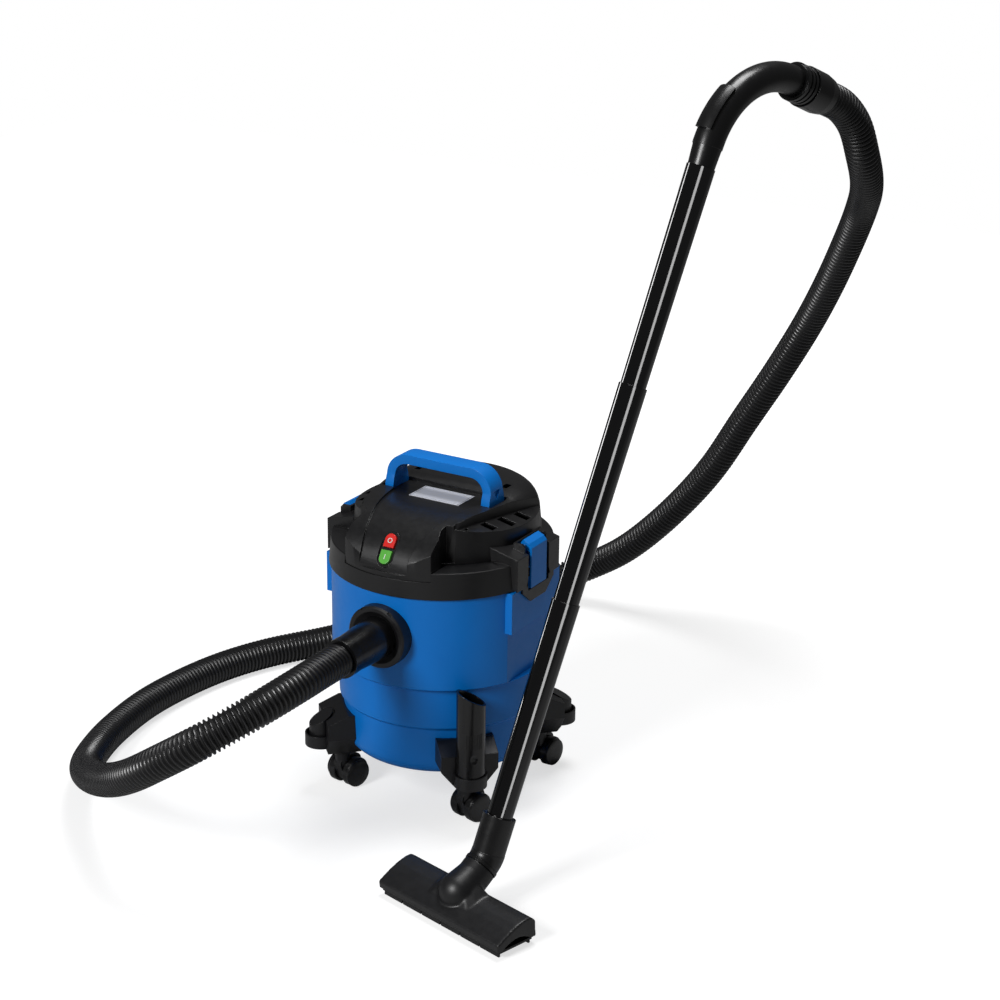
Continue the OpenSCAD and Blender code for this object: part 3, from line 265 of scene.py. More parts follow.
def zinc(name, rough):
    """Zinc-plated steel: pale grey metal with a fine, uneven sheen from the bath."""
    material, shader = new_material(name, Metallic=1.0)
    tree = material.node_tree
    place = add(tree, "ShaderNodeTexCoord").outputs["Object"]
    bath = add(tree, "ShaderNodeTexNoise",
               {"Vector": place, "Scale": 1 / (2.5 * MM), "Detail": 5.0})
    tone = add(tree, "ShaderNodeMix",
               {0: bath.outputs["Fac"], COLOUR_A: linear("#c4c5c8"), COLOUR_B: linear("#a2a4a8")},
               data_type="RGBA")
    tree.links.new(tone.outputs[MIXED], shader.inputs["Base Color"])
    spread = add(tree, "ShaderNodeMapRange",
                 {"Value": bath.outputs["Fac"], "To Min": rough - 0.08, "To Max": rough + 0.08})
    tree.links.new(spread.outputs["Result"], shader.inputs["Roughness"])
    bump = add(tree, "ShaderNodeBump",
               {"Height": bath.outputs["Fac"], "Distance": 0.01 * MM, "Strength": 1.0})
    tree.links.new(bump.outputs["Normal"], shader.inputs["Normal"])
    return material


plated = zinc("zinc-plated steel", 0.32)
finish(plated, *["caster_axle_" + c for c in corners], "mount_screws")

# A domed polyamide cap snaps over the hub of each wheel, outside and in.


def upright_to(axis, place):
    """A matrix that lays +Z along an axis through a place."""
    return Matrix.Translation(place) @ Vector(axis).to_track_quat("Z", "Y").to_matrix().to_4x4()


cap_r = 17.6
for corner in corners:
    wheels = parts["caster_wheels_" + corner]
    corner_low, corner_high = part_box("caster_wheels_" + corner)
    hub = (Vector(corner_low) + Vector(corner_high)) / 2
    lean = max(((v.co - hub) for v in parts["caster_axle_" + corner].data.vertices),
               key=lambda d: d.length)
    axis = Vector((lean.x, lean.y, 0)).normalized()
    half = max((v.co - hub).dot(axis) for v in wheels.data.vertices) / MM
    for side in (1, -1):
        cap = turned([(0, half - 1.5), (cap_r, half - 1.5), (cap_r, half + 0.2),
                      (16.4, half + 1.0), (9, half + 1.7), (0, half + 2.0)], sides=64)
        cap.data.transform(upright_to(axis * side, hub))
        cap.name = cap.data.name = "wheel_cap_%s_%s" % (corner, "outer" if side > 0 else "inner")
        cap.data.materials.append(polyamide)
        smoothed(cap.data, 40)
        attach(cap, "wheels_" + corner)

# The crevice tool is pushed down over its spigot. It is polished black polypropylene.
gloss_pp = moulded("black glossy polypropylene", "#0c0c0d", "#0a0a0b", 0.24, 1.2, 0.006, 0.8)
finish(gloss_pp, "crevice_tool")

# ---------------------------------------------------------------- motor head
# The head's base and cover are black ABS from a spark-eroded mould, a little softer in sheen
# than the brackets. The carry handle is blue ABS, screwed on from below.
black_abs = moulded("black satin ABS", "#0f0f11", "#0c0c0d", 0.36, 0.8, 0.018, 1.0)


def arc(cx, cz, rx, rz, start, end, steps=10):
    """Points of an elliptic arc between two angles in degrees."""
    angles = [math.radians(start + (end - start) * i / steps) for i in range(steps + 1)]
    return [(cx + rx * math.cos(a), cz + rz * math.sin(a)) for a in angles]


def both_halves(right):
    """An outline and its mirror image in the second axis, as one closed outline."""
    return right + [(-x, z) for x, z in reversed(right)]


def grown(outline, by):
    """An outline with every side moved outwards, or inwards where by is below zero."""
    n = len(outline)
    area = sum(outline[i][0] * outline[(i + 1) % n][1] - outline[(i + 1) % n][0] * outline[i][1]
               for i in range(n))
    sign = 1 if area > 0 else -1
    moved = []
    for i in range(n):
        before, here, after = (Vector(outline[(i + k) % n]) for k in (-1, 0, 1))
        into, out = (here - before).normalized(), (after - here).normalized()
        n1, n2 = (Vector((sign * d.y, -sign * d.x)) for d in (into, out))
        moved.append(tuple(here + (n1 + n2) * by / (1 + n1.dot(n2))))
    return moved


def tilted(form, place, angle):
    form.data.transform(Matrix.Translation(Vector(place) * MM)
                        @ Matrix.Rotation(math.radians(angle), 4, "X"))
    return form


def stadium(width, length, low, high):
    r, mid = width / 2, (length - width) / 2
    return prism("Z", arc(0, mid, r, r, 0, 180, 20) + arc(0, -mid, r, r, 180, 360, 20), low, high)


shell = 3.0
skirt_r, skirt_in, skirt_z = 142.0, 139.6, 302.0
plate_z, plate_t, ledge_z = 315.0, 4.0, 335.0
shelf_z, deck_z, hump_z = 369.5, 389.0, 395.5
drum_y, drum_r, drum_lean, shelf_fall = 12.0, 119.0, 3.5, 0.21
tongue_z, tongue_y, tongue_half, brow_y = 324.0, 139.0, 62.0, 45.0
panel_depth = 3.0


def shelf_at(x):
    """Height of the vent shelves, which fall towards the sides of the head."""
    return shelf_z + shelf_fall * (drum_r - drum_lean - 5 - x)


def cover_drum(inset, foot):
    """The cover's drum, which stands behind the tank's axis, drawn inwards by inset."""
    lean = drum_lean / (shelf_z - ledge_z)
    crown = shelf_at(60) + 1
    drum = turned([(0, foot), (drum_r - inset - lean * (foot - ledge_z), foot),
                   (drum_r - inset - lean * (crown - ledge_z), crown), (0, crown)], drum_y)
    roof = [(140, foot - 1), (140, shelf_at(140) - inset), (60, shelf_at(60) - inset)]
    return shaped(drum, "INTERSECT", prism("Y", both_halves(roof), -skirt_r, skirt_r))


def brow(depth):
    """The curve of the tongue's front, from its foot up to the deck."""
    return arc(-brow_y, tongue_z, tongue_y - brow_y - depth, deck_z - tongue_z - depth,
               180, 90, 18)


def cover_body(inset):
    """The raised body: front tongue, handle pads and rear hump, drawn inwards by inset."""
    plan = both_halves([(tongue_half, -tongue_y - 4), (tongue_half, -108), (57, -94), (58, -84),
                        (69, -82), (99, 60), (104, 84), (104, skirt_r)])
    body = prism("Z", grown(plan, -inset) if inset else plan, tongue_z - 1, hump_z + 1)
    foot = tongue_z - (1 if inset else 0)
    side = ([(inset - tongue_y, foot)] if inset else []) + brow(inset) + [
        (18, deck_z - inset), (36, hump_z - inset), (skirt_r, hump_z - inset),
        (skirt_r, shelf_z - 8), (-82, shelf_z - 8), (-92, foot)]
    front = [(130, tongue_z - 5), (130, shelf_z - 1)] + arc(
        60, shelf_z - 1, 46 - inset, hump_z - shelf_z + 1 - inset, 0, 90)
    rear_r = drum_r - drum_lean - 0.5 - inset
    rear = turned([(0, tongue_z - 2), (rear_r, tongue_z - 2)]
                  + arc(rear_r - 22, shelf_z, 22, hump_z - shelf_z - inset, 0, 90, 8)
                  + [(0, hump_z - inset)], drum_y)
    nose = turned([(0, tongue_z - 2), (tongue_y + 0.2 - inset, tongue_z - 2),
                   (tongue_y + 0.2 - inset, hump_z - 2), (0, hump_z - 2)])
    shaped(nose, "INTERSECT", block((-tongue_half - 5, -skirt_r, tongue_z - 3),
                                    (tongue_half + 5, -60, hump_z)))
    return shaped(body, "INTERSECT", prism("X", side, -skirt_r, skirt_r),
                  prism("Y", both_halves(front), -skirt_r, skirt_r), shaped(rear, "UNION", nose))


def grooves(by):
    """The deep groove between the tongue and the drum, on each side."""
    right = [(tongue_half - 0.5, -150), (76, -150), (70, -88), (69.5, -81.5),
             (57.5, -83.5), (56.5, -94), (tongue_half - 0.5, -108)]
    foot = ledge_z + 2 - 3 * by / 2
    return [prism("Z", grown([(s * x, y) for x, y in right], by), foot, foot + 60)
            for s in (1, -1)]


def panel_recess(by):
    """The control panel's recess in the tongue and the deck."""
    plan = both_halves([(33, -160), (34, -132), (40, -112), (50, -74), (57, -40), (61, -16),
                        (80, -16), (80, 27)])
    depth, floor_y = panel_depth + by, 23 + by
    form = prism("Z", grown(plan, by) if by else plan, tongue_z + 6 - 2 * by, tongue_z + 96)
    return shaped(form, "INTERSECT", prism("X", brow(depth) + [
        (floor_y, deck_z - depth), (floor_y, hump_z + 1), (-skirt_r - 1, hump_z + 1),
        (-skirt_r - 1, tongue_z)], -skirt_r, skirt_r))


cover = shaped(cover_drum(0, ledge_z), "UNION", cover_body(0))
hollow = shaped(cover_drum(shell, ledge_z - 0.5), "UNION", cover_body(shell))
shaped(hollow, "DIFFERENCE", *grooves(shell - 1), panel_recess(shell))
shaped(cover, "DIFFERENCE", hollow, panel_recess(0), *grooves(0))
louvre_pitch, louvre_length, louvre_slant = 29.5, 21, 0.21
for side in (1, -1):
    for i, wide in enumerate((12, 12, 12, 6)):
        y = 22 - louvre_pitch * i
        start = 71 + louvre_slant * (y + 82)
        rim_r = drum_r - drum_lean - 3
        end = min(start + louvre_length,
                  math.sqrt(rim_r ** 2 - (abs(y - drum_y) + wide / 2) ** 2))
        slot = [(side * start, shelf_at(start) + 1), (side * start, shelf_at(start) - shell - 1),
                (side * end, shelf_at(end) - shell - 1), (side * end, shelf_at(end) + 1)]
        shaped(cover, "DIFFERENCE", prism("Y", slot, y - wide / 2, y + wide / 2))
    inner, outer = sorted((side * 60, side * 68))  # a small slot in the hump, on each side
    shaped(cover, "DIFFERENCE", block((inner, 40, hump_z - 8), (outer, 54, hump_z + 1)))
switch_tilt, switch_place = 54, (0, -121, 352)
shaped(cover, "DIFFERENCE", tilted(stadium(22.2, 46.2, -20, 20), switch_place, switch_tilt))


# The base is a ring with a skirt over the tank's rim, a raised housing for each buckle and a
# pot that hangs down round the motor.
deck_low = plate_z + plate_t
pot_r, pot_in, pot_seat, shaft_r = 62.0, 59.5, 56.0, 16.0
base = turned([(skirt_in, skirt_z), (skirt_r, skirt_z), (skirt_r - 2.8, ledge_z - 1),
               (skirt_r - 3.8, ledge_z), (100, ledge_z), (100, deck_low),
               (pot_in, deck_low), (pot_in, 290.5), (pot_seat, 290.5), (pot_seat, 271),
               (shaft_r, 271), (shaft_r, 268), (pot_r, 268), (pot_r, plate_z),
               (skirt_in, plate_z)])
housing_x, pocket_x, pocket_half, boss_x = skirt_r - 3, 122.0, 25.0, 136.0
above = 500.0  # higher than anything on the head
pocket_z = skirt_z - 6
pin_x, pin_z = pocket_x + 7.5, pocket_z + 55


def span(side, x0, x1):
    """Two distances from the middle, as a low and a high X on one side of the head."""
    return sorted((side * x0, side * x1))


def across(side, x0, half, z0, z1):
    """A block from x0 to beyond the skirt, on one side of the head."""
    low, high = span(side, x0, skirt_r + 1)
    return block((low, -half, z0), (high, half, z1))


def under_cover(top_z):
    """The room inside the foot of the cover's drum, up to a height."""
    inside = drum_r - shell
    return turned([(0, deck_low), (inside, deck_low), (inside, top_z), (0, top_z)], drum_y)


for side in (1, -1):
    shaped(base, "DIFFERENCE", across(side, housing_x, skirt_r, 0, above),
           across(side, pocket_x - 0.5, pocket_half, deck_low, above),
           across(side, boss_x, pocket_half, 0, above))
shaped(base, "DIFFERENCE", under_cover(above))
for side in (1, -1):
    slope_z, ear_z = ledge_z + 8, pin_z + 4.5
    housing = prism("Y", [(side * x, z) for x, z in (
        (95, plate_z), (housing_x, skirt_z), (housing_x, slope_z), (95, slope_z + 11))], -51, 51)
    ears = prism("Y", [(side * x, z) for x, z in (
        (pocket_x - shell, plate_z), (pin_x + 5, plate_z), (pin_x + 5, pin_z + 1),
        (pin_x + 1.5, ear_z), (pocket_x - shell, ear_z))],
        -pocket_half - shell, pocket_half + shell)
    apron = prism("X", [(-38, skirt_z), (-38, pocket_z), (-18, pocket_z - 16),
                        (18, pocket_z - 16), (38, pocket_z), (38, skirt_z)],
                  *span(side, boss_x + 0.3, housing_x))
    shaped(housing, "UNION", ears, apron)
    shaped(housing, "DIFFERENCE", cover_drum(-0.1, ledge_z), under_cover(ledge_z + 0.5),
           across(side, pocket_x, pocket_half, plate_z + 1, above),
           across(side, boss_x, pocket_half, pocket_z, plate_z + 1.5))
    shaped(base, "UNION", housing)

# The last cuts leave room for the tank's rim, the cover's tongue and the switch block.
rim_in = pot_r + 0.99
rim = turned([(rim_in, skirt_z - 0.5), (skirt_in, skirt_z - 0.5), (skirt_in, plate_z),
              (rim_in, plate_z)])
for side in (1, -1):
    shaped(rim, "DIFFERENCE", across(side, boss_x + 0.3, skirt_r, 0, above))
shaped(base, "DIFFERENCE", rim,
       block((-tongue_half - 0.1, -skirt_r - 0.5, tongue_z - 0.1),
             (tongue_half + 0.1, -88, ledge_z + 0.5)),
       block((-20, -128, deck_low), (20, -88, ledge_z + 0.5)))
settle(cover, "head_cover", black_abs, "head")
settle(base, "head_base", black_abs, "head")
finish(plated, "head_screws", "handle_screws")

# The carry handle is one rounded bar whose feet widen to front and rear.
arch = prism("Y", both_halves([(76, 386)] + arc(46, 402, 30, 30, 0, 90, 12)), -14, 22)
shaped(arch, "DIFFERENCE",
       prism("Y", both_halves([(64, 384)] + arc(46, 402, 18, 18, 0, 90, 12)), -15, 23))
shaped(arch, "INTERSECT",
       prism("X", [(-14, 386), (22, 386), (21, 395), (18, 404), (18, 433), (-10, 433),
                   (-10, 404), (-13, 395)], -77, 77))
for side in (1, -1):
    dent = [(-3, 405), (11, 405), (4, 393)]
    shaped(arch, "DIFFERENCE", prism("X", dent, *span(side, 73.5, 77)))


def rounded(form, width):
    """Rounds a form's sharp edges by a width in millimetres."""
    soft = form.modifiers.new("round", "BEVEL")
    soft.width, soft.segments, soft.limit_method = width * MM, 4, "ANGLE"
    soft.angle_limit, soft.use_clamp_overlap = math.radians(40), True
    return baked(form)


settle(rounded(arch, 3.2), "carry_handle", blue_abs, "head", 50)
finish(black_pp, "cable_gland")


# The rating plate is a satin aluminium foil with a plain printed border and no lettering.
def foil(name, low, high):
    """Satin foil between two corners (X, Y), with a thin grey rule inside its edge."""
    material, shader = new_material(name, Metallic=0.1, Roughness=0.42)
    tree = material.node_tree
    place = add(tree, "ShaderNodeTexCoord").outputs["Object"]
    axes = add(tree, "ShaderNodeSeparateXYZ", {"Vector": place})
    rules = None
    for axis, side in (("X", 0), ("Y", 1)):
        middle = (low[side] + high[side]) / 2 * MM
        half = (high[side] - low[side]) / 2 * MM
        off = add(tree, "ShaderNodeMath", {0: axes.outputs[axis], 1: middle}, operation="SUBTRACT")
        away = add(tree, "ShaderNodeMath", {0: off.outputs[0]}, operation="ABSOLUTE")
        line = add(tree, "ShaderNodeMath", {0: away.outputs[0], 1: half - 2 * MM, 2: 0.3 * MM},
                   operation="COMPARE")
        inside = line.outputs[0]
        rules = inside if rules is None else add(
            tree, "ShaderNodeMath", {0: rules, 1: inside}, operation="MAXIMUM").outputs[0]
    fibre = add(tree, "ShaderNodeTexNoise",
                {"Vector": place, "Scale": 1 / (1.2 * MM), "Detail": 3.0})
    sheet = add(tree, "ShaderNodeMix",
                {0: fibre.outputs["Fac"], COLOUR_A: linear("#e6e8f0"), COLOUR_B: linear("#d8dbe4")},
                data_type="RGBA")
    ink = add(tree, "ShaderNodeMix",
              {0: rules, COLOUR_A: sheet.outputs[MIXED], COLOUR_B: linear("#5c5f66")},
              data_type="RGBA")
    tree.links.new(ink.outputs[MIXED], shader.inputs["Base Color"])
    return material


plate_low, plate_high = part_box("label_plate")
finish(foil("satin aluminium foil", plate_low / MM, plate_high / MM), "label_plate")

# ---------------------------------------------------------------- switch
# Two polished push buttons stand in one rounded bezel: red above to stop, green below to
# start, each with its raised mark.
finish(gloss_pp, "switch_bezel")
white_abs = moulded("white ABS", "#d8d8d4", "#cfcfca", 0.35, 1.5, 0.004, 0.2)
red_abs = moulded("polished red ABS", "#e0302b", "#b81a17", 0.22, 1.5, 0.004, 1.2)
green_abs = moulded("polished green ABS", "#6fb552", "#2f9425", 0.22, 1.5, 0.004, 1.2)
finish(red_abs, "red_button")
finish(green_abs, "green_button")
finish(black_pp, "switch_block")


def tilted_mark(name, form, material, body):
    """A raised mark on a button's face."""
    tilted(form, switch_place, switch_tilt)
    form.name = form.data.name = name
    form.data.materials.append(material)
    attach(form, body)


button_y, mark_low, mark_high, mark_size = 10.5, 4.9, 5.4, 6.4
ring = stadium(mark_size, mark_size, mark_low, mark_high)
hole = stadium(4.6, 4.6, 4, 6)
bar = stadium(1.1, mark_size, mark_low, mark_high)
for form, y in ((ring, button_y), (hole, button_y), (bar, -button_y)):
    form.data.transform(Matrix.Translation((0, y * MM, 0)))
tilted_mark("stop_mark", shaped(ring, "DIFFERENCE", hole), white_abs, "red_button")
tilted_mark("start_mark", bar, white_abs, "green_button")

# ---------------------------------------------------------------- motor and filter
# Under the cover hang the motor, its pressed aluminium fan and a cage with a float valve, in
# a sleeve of open foam. They are seen only when the head is lifted off.
motor_paint = moulded("grey stoving enamel", "#6a6d72", "#5f6267", 0.45, 2.0, 0.02, 0.8, ior=1.5)
finish(motor_paint, "motor")
finish(epdm, "motor_gasket")
pressed = zinc("pressed aluminium", 0.28)
finish(pressed, "fan")
finish(black_pp, "float_cage", "filter_band")
white_pp = moulded("white polypropylene", "#dcdcd6", "#d2d2cb", 0.42, 1.0, 0.015, 0.8)
finish(white_pp, "float")


def open_foam(name):
    """Polyether foam: a mat, near-black sponge of cells about 1.5 mm across."""
    material, shader = new_material(name, Roughness=0.95)
    tree = material.node_tree
    place = add(tree, "ShaderNodeTexCoord").outputs["Object"]
    cells = add(tree, "ShaderNodeTexVoronoi", {"Vector": place, "Scale": 1 / (1.5 * MM)})
    tone = add(tree, "ShaderNodeMix",
               {0: cells.outputs["Distance"], COLOUR_A: linear("#0c0c0d"),
                COLOUR_B: linear("#2b2b2d")},
               data_type="RGBA")
    tree.links.new(tone.outputs[MIXED], shader.inputs["Base Color"])
    bump = add(tree, "ShaderNodeBump",
               {"Height": cells.outputs["Distance"], "Distance": 0.8 * MM, "Strength": 1.0})
    tree.links.new(bump.outputs["Normal"], shader.inputs["Normal"])
    return material


finish(open_foam("polyether foam"), "filter_sleeve")

# ---------------------------------------------------------------- buckles
# Each buckle is one blue ABS moulding on a steel pin.
finish(blue_abs, "buckle_left", "buckle_right")
finish(plated, "buckle_pins")

# ---------------------------------------------------------------- hose
# The hose is extruded black polyethylene, pressed into rings while soft, 42 mm across and
# 6.2 mm from ring to ring. It leaves the inlet's connector, lies round the machine on the
# floor and climbs to the cuff on the hand grip.
hose_d = 42 * MM
ring_pitch = 6.2 * MM
ring_depth = 3.8 * MM
hose_points = [
    (367, 263, 880), (376, 297, 864), (383, 325, 838), (385, 352, 797), (373, 402, 750),
    (340, 470, 697), (303, 512, 628), (267, 545, 563), (227, 575, 496), (180, 592, 418),
    (130, 603, 338), (83, 610, 260), (45, 612, 208), (-7, 610, 148), (-58, 608, 100),
    (-108, 606, 66), (-157, 588, 40), (-201, 545, 25), (-243, 468, 21), (-277, 381, 21),
    (-312, 301, 21), (-345, 235, 21), (-388, 160, 21), (-414, 90, 21), (-427, 15, 21),
    (-429, -70, 21), (-414, -160, 21), (-388, -228, 26), (-350, -288, 40), (-292, -345, 66),
    (-226, -391, 98), (-163, -424, 135), (-111, -433, 170), (-62, -421, 203), (-23, -376, 230),
    (-2, -310, 246), (0, -270, 248), (0, -229, 248),
]


def smooth_line(points, step):
    """A centripetal curve through points, cut into steps of even length."""
    knots = [Vector(p) for p in points]
    ends = [2 * knots[0] - knots[1]] + knots + [2 * knots[-1] - knots[-2]]
    dense = []
    for a, b, c, d in zip(ends, ends[1:], ends[2:], ends[3:]):
        t1 = math.sqrt((b - a).length)
        t2 = t1 + math.sqrt((c - b).length)
        t3 = t2 + math.sqrt((d - c).length)
        for i in range(24):
            t = t1 + (t2 - t1) * i / 24
            ab = a.lerp(b, t / t1)
            bc = b.lerp(c, (t - t1) / (t2 - t1))
            cd = c.lerp(d, (t - t2) / (t3 - t2))
            abc = ab.lerp(bc, t / t2)
            bcd = bc.lerp(cd, (t - t1) / (t3 - t1))
            dense.append(abc.lerp(bcd, (t - t1) / (t2 - t1)))
    dense.append(knots[-1])
    lengths = [0.0]
    for a, b in zip(dense, dense[1:]):
        lengths.append(lengths[-1] + (b - a).length)
    count = round(lengths[-1] / step)
    line, j = [], 0
    for i in range(count + 1):
        goal = lengths[-1] * i / count
        while j < len(dense) - 2 and lengths[j + 1] < goal:
            j += 1
        share = (goal - lengths[j]) / (lengths[j + 1] - lengths[j])
        line.append(dense[j].lerp(dense[j + 1], share))
    return line, lengths[-1]


def swept_tube(name, line, radii, sides):
    """A closed tube along a line, with its own radius at each point."""
    mesh = bpy.data.meshes.new(name)
    verts, faces = [], []
    across = Vector((0, 0, 1)).cross(line[1] - line[0]).normalized()
    for i, centre in enumerate(line):
        ahead = (line[min(i + 1, len(line) - 1)] - line[max(i - 1, 0)]).normalized()
        across = (across - across.dot(ahead) * ahead).normalized()
        up = ahead.cross(across)
        for j in range(sides):
            a = 2 * math.pi * j / sides
            verts.append(centre + radii[i] * (math.cos(a) * across + math.sin(a) * up))
    for i in range(len(line) - 1):
        for j in range(sides):
            k = (j + 1) % sides
            faces.append((i * sides + j, i * sides + k, (i + 1) * sides + k, (i + 1) * sides + j))
    faces.append(tuple(range(sides - 1, -1, -1)))
    faces.append(tuple((len(line) - 1) * sides + j for j in range(sides)))
    mesh.from_pydata(verts, [], faces)
    return mesh


cuts_per_ring = 6
hose_sides = 40
hose_line, hose_mm = smooth_line(hose_points, ring_pitch / MM / cuts_per_ring)
hose_line = [p * MM for p in hose_line]
ring_wave = [0.0, 0.0, 0.3, 1.0, 1.0, 0.3]
hose_radii = [hose_d / 2 - ring_depth * (1 - ring_wave[i % cuts_per_ring])
              for i in range(len(hose_line))]
hose_mesh = swept_tube("corrugated_hose", hose_line, hose_radii, hose_sides)


def ribbed_plastic(name, mesh):
    """Black polyethylene, painted lighter on the crests of its rings as a highlight and darker in
    the valleys as shade; glossier on the crests, duller in the valleys.
    """
    crest = mesh.attributes.new("crest", "FLOAT", "POINT")
    crest.data.foreach_set("value", [ring_wave[i % cuts_per_ring] for i in range(len(hose_line))
                                     for _ in range(hose_sides)])
    material, shader = new_material(name)
    shader.inputs["IOR"].default_value = 1.51
    tree = material.node_tree
    height = add(tree, "ShaderNodeAttribute", {}, attribute_name="crest").outputs["Fac"]
    # The base colour runs from near black in the valleys to dark grey on the crests: painted shade
    # in the valleys and a painted highlight on the crests.
    tone = add(tree, "ShaderNodeMix",
               {0: height, COLOUR_A: linear("#010101"), COLOUR_B: linear("#161618")},
               data_type="RGBA")
    tree.links.new(tone.outputs[MIXED], shader.inputs["Base Color"])
    spread = add(tree, "ShaderNodeMapRange", {"Value": height, "To Min": 0.7, "To Max": 0.2})
    tree.links.new(spread.outputs["Result"], shader.inputs["Roughness"])
    place = add(tree, "ShaderNodeTexCoord").outputs["Object"]
    skin = add(tree, "ShaderNodeTexNoise",
               {"Vector": place, "Scale": 1 / (2.5 * MM), "Detail": 2.0})
    bump = add(tree, "ShaderNodeBump",
               {"Height": skin.outputs["Fac"], "Distance": 0.02 * MM, "Strength": 1.0})
    tree.links.new(bump.outputs["Normal"], shader.inputs["Normal"])
    return material


hose = placed("corrugated_hose", hose_mesh)
hose_mesh.materials.append(ribbed_plastic("extruded black polyethylene", hose_mesh))
hose_mesh.polygons.foreach_set("use_smooth", [True] * len(hose_mesh.polygons))
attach(hose, "machine")
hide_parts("hose")

# The connector, the cuff and the ribbed collar are polished black polypropylene.
finish(gloss_pp, "hose_connector", "hose_cuff", "swivel_collar")

# ---------------------------------------------------------------- wand and grip
# Three tapered tubes push into each other. They are polished black polypropylene, bright
# enough to mirror a lamp as one white line.
wand_tubes = ("wand_lower", "wand_middle", "wand_upper")
tube_gloss = moulded("black mirror-polished polypropylene", "#0b0b0c", "#09090a",
                     0.07, 6.0, 0.01, 0.5)
finish(tube_gloss, *wand_tubes)

# The hand grip, its sliding cover and the elbow come from a finely blasted mould, which
# turns the mirror into a satin black.
satin_pp = moulded("black satin polypropylene", "#0f0f10", "#0c0c0d", 0.30, 0.9, 0.012, 0.8)
finish(satin_pp, "hand_grip", "bleed_slider", "nozzle_elbow", "neck_ring")

# ---------------------------------------------------------------- floor nozzle
# The nozzle is a grained black polypropylene hood with a plain sole, and a row of stiff
# nylon strips along each edge. A round saddle swells out of the hood and carries the neck.
hood = placed("moulded_nozzle_shell", parts["nozzle_shell"].data.copy())
neck_low, neck_high = (Vector(c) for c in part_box("neck_ring"))
hood_low, hood_high = (Vector(c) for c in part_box("nozzle_shell"))
neck = (neck_low + neck_high) / 2
saddle = Vector(((hood_low.x + hood_high.x) / 2, (hood_low.y + hood_high.y) / 2, 30 * MM))
form = bmesh.new()
form.from_mesh(hood.data)
ball_count, ball_r, ball_taper = 13, 24, 0.45
for i in range(ball_count):
    share = 0.1 + 0.055 * i
    bmesh.ops.create_uvsphere(form, u_segments=48, v_segments=32,
                              radius=(ball_r - ball_taper * i) * MM,
                              matrix=Matrix.Translation(saddle.lerp(neck, share)))
form.to_mesh(hood.data)
form.free()
grid = hood.modifiers.new("grid", "REMESH")
grid.mode, grid.voxel_size = "VOXEL", 1.3 * MM
soften = hood.modifiers.new("soften", "SMOOTH")
soften.factor, soften.iterations = 0.5, 9
settle(baked(hood), "nozzle_shell", black_pp, "floor_nozzle", 180)
finish(black_pp, "nozzle_sole")


wand_turn = 15.6  # degrees that the wand and its nozzle are turned about Z


def nylon(name):
    """Black nylon filaments, 0.6 mm apart, seen as fine upright lines."""
    material, shader = new_material(name, Roughness=0.5)
    tree = material.node_tree
    place = add(tree, "ShaderNodeTexCoord").outputs["Object"]
    upright = add(tree, "ShaderNodeMapping",
                  {"Vector": place, "Rotation": (0, 0, math.radians(wand_turn)),
                   "Scale": (1, 1, 0.05)})
    hairs = add(tree, "ShaderNodeTexNoise",
                {"Vector": upright.outputs["Vector"], "Scale": 1 / (0.6 * MM), "Detail": 1.0})
    tone = add(tree, "ShaderNodeMix",
               {0: hairs.outputs["Fac"], COLOUR_A: linear("#070708"), COLOUR_B: linear("#2a2a2c")},
               data_type="RGBA")
    tree.links.new(tone.outputs[MIXED], shader.inputs["Base Color"])
    bump = add(tree, "ShaderNodeBump",
               {"Height": hairs.outputs["Fac"], "Distance": 0.3 * MM, "Strength": 1.0})
    tree.links.new(bump.outputs["Normal"], shader.inputs["Normal"])
    return material


finish(nylon("black nylon filaments"), "front_brush", "rear_brush")

# ---------------------------------------------------------------- room, lamps and camera
# A white floor runs to a white surround. One large lamp in front models the drum, one
# overhead lifts the top faces, and two tall strips draw bright lines down the tubes.


def plain_floor(name):
    """Matt white paint that the camera sees a little brighter, so that only shadows show."""
    material = bpy.data.materials.new(name)
    material.use_nodes = True
    tree = material.node_tree
    tree.nodes.clear()
    paint = add(tree, "ShaderNodeBsdfDiffuse", {"Color": linear("#b4b4b4")})
    place = add(tree, "ShaderNodeTexCoord").outputs["Object"]
    away = add(tree, "ShaderNodeVectorMath", {0: place}, operation="LENGTH").outputs["Value"]
    level = add(tree, "ShaderNodeMapRange",
                {"Value": away, "From Min": 0.5, "From Max": 1.6, "To Min": 0.66, "To Max": 1.0})
    glow = add(tree, "ShaderNodeEmission",
               {"Color": linear("#ffffff"), "Strength": level.outputs["Result"]})
    both = add(tree, "ShaderNodeAddShader", {0: paint.outputs[0], 1: glow.outputs[0]})
    rays = add(tree, "ShaderNodeLightPath")
    seen = add(tree, "ShaderNodeMixShader",
               {0: rays.outputs["Is Camera Ray"], 1: paint.outputs[0], 2: both.outputs[0]})
    add(tree, "ShaderNodeOutputMaterial", {"Surface": seen.outputs[0]})
    return material


floor_mesh = bpy.data.meshes.new("floor")
reach = 3.2
floor_mesh.from_pydata([(-reach, -reach, 0), (reach, -reach, 0), (reach, reach, 0),
                        (-reach, reach, 0)], [], [(0, 1, 2, 3)])
floor_mesh.materials.append(plain_floor("matt white paint"))
floor = placed("floor", floor_mesh)
floor.location.z = -0.5 * MM

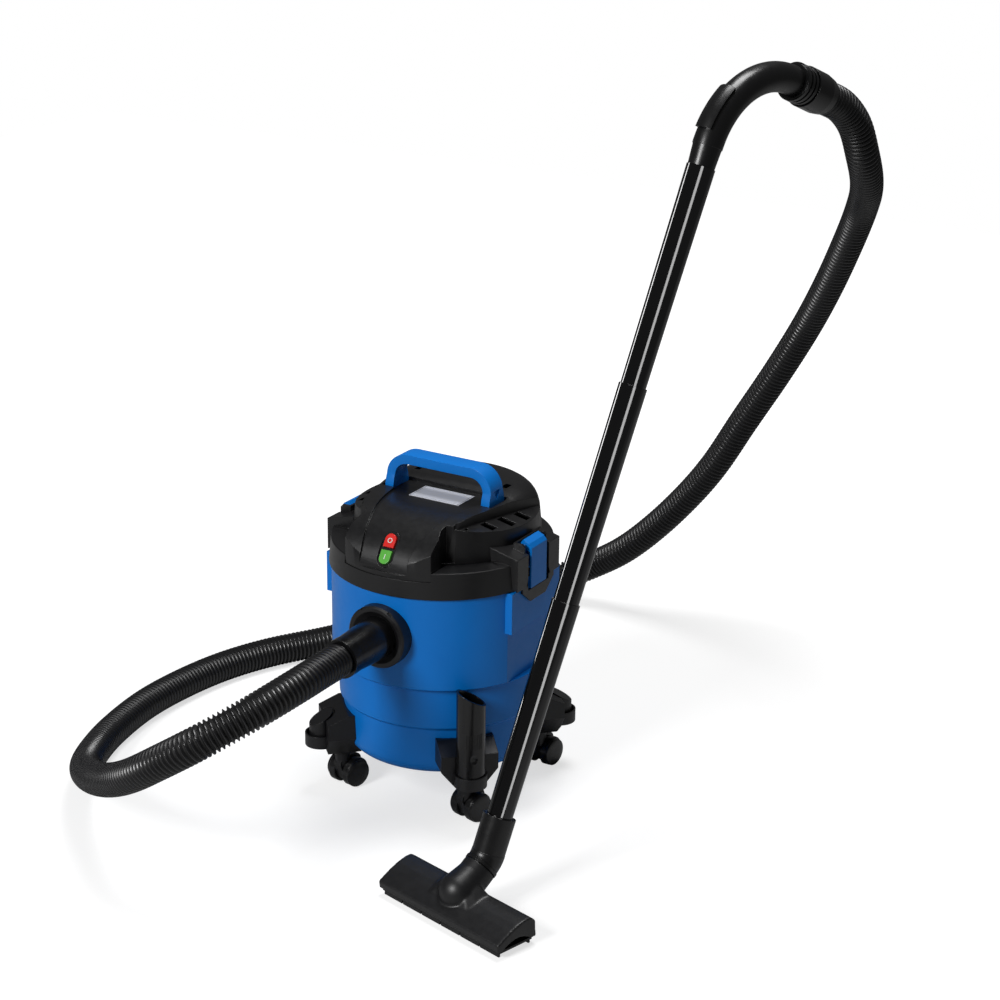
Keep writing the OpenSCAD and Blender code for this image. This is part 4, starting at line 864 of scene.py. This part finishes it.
world = bpy.data.worlds.new("white surround")
world.use_nodes = True
tree = world.node_tree
tree.nodes.clear()
rays = add(tree, "ShaderNodeLightPath")
shown = add(tree, "ShaderNodeMath",
            {0: rays.outputs["Is Camera Ray"], 1: rays.outputs["Is Transmission Ray"]},
            operation="MAXIMUM")
dim = add(tree, "ShaderNodeBackground", {"Color": linear("#ffffff"), "Strength": 0.10})
bright = add(tree, "ShaderNodeBackground", {"Color": linear("#ffffff"), "Strength": 1.0})
surround = add(tree, "ShaderNodeMixShader",
               {0: shown.outputs[0], 1: dim.outputs[0], 2: bright.outputs[0]})
add(tree, "ShaderNodeOutputWorld", {"Surface": surround.outputs[0]})
bpy.context.scene.world = world


def lamp(name, place, aim, size, power, only=None):
    """A soft rectangular lamp that faces a point, for every surface or only for some."""
    data = bpy.data.lights.new(name, "AREA")
    data.shape = "RECTANGLE"
    data.size, data.size_y = size
    data.energy = power
    holder = placed(name, data)
    holder.location = place
    holder.rotation_euler = (Vector(aim) - Vector(place)).to_track_quat("-Z", "Y").to_euler()
    if only:
        holder.light_linking.receiver_collection = only


# The strips are flagged off from all but the polished tubes, and the key from the tubes.
tubes = bpy.data.collections.new("polished tubes")
for name in wand_tubes:
    tubes.objects.link(parts[name])
all_but_tubes = bpy.data.collections.new("all but the polished tubes")
for name in wand_tubes:
    all_but_tubes.objects.link(parts[name])
for entry in all_but_tubes.collection_objects:
    entry.light_linking.link_state = "EXCLUDE"
lamp("key", (-0.5, -2.6, 1.9), (0.05, 0.0, 0.35), (0.9, 0.9), 66, all_but_tubes)
lamp("overhead", (0.1, 0.5, 2.7), (0.1, 0.1, 0.3), (1.0, 1.0), 42)
tube_middle = (0.267, -0.097, 0.45)
lamp("tube line", (1.85, -1.80, 0.95), tube_middle, (0.75, 2.6), 66, tubes)
lamp("edge line", (-2.13, 0.05, 0.52), tube_middle, (0.35, 2.2), 36, tubes)

# The camera stands at chest height in front and to the right, and looks down at the machine.
camera_place = Vector((1.4848, -2.3762, 1.409))
heading, down, roll = math.radians(120.54), math.radians(20.18), math.radians(0.69)
ahead = Vector((math.cos(heading) * math.cos(down), math.sin(heading) * math.cos(down),
                -math.sin(down)))
level = Vector((math.sin(heading), -math.cos(heading), 0))
upright = level.cross(ahead)
right = math.cos(roll) * level + math.sin(roll) * upright
top = math.cos(roll) * upright - math.sin(roll) * level
view = bpy.data.cameras.new("camera")
view.sensor_width = 36
view.lens = 86.4
view.clip_end = 50
camera = placed("camera", view)
camera.matrix_world = Matrix.Translation(camera_place) @ Matrix(
    (right, top, -ahead)).transposed().to_4x4()
bpy.context.scene.camera = camera
bpy.context.scene.view_settings.view_transform = "Standard"
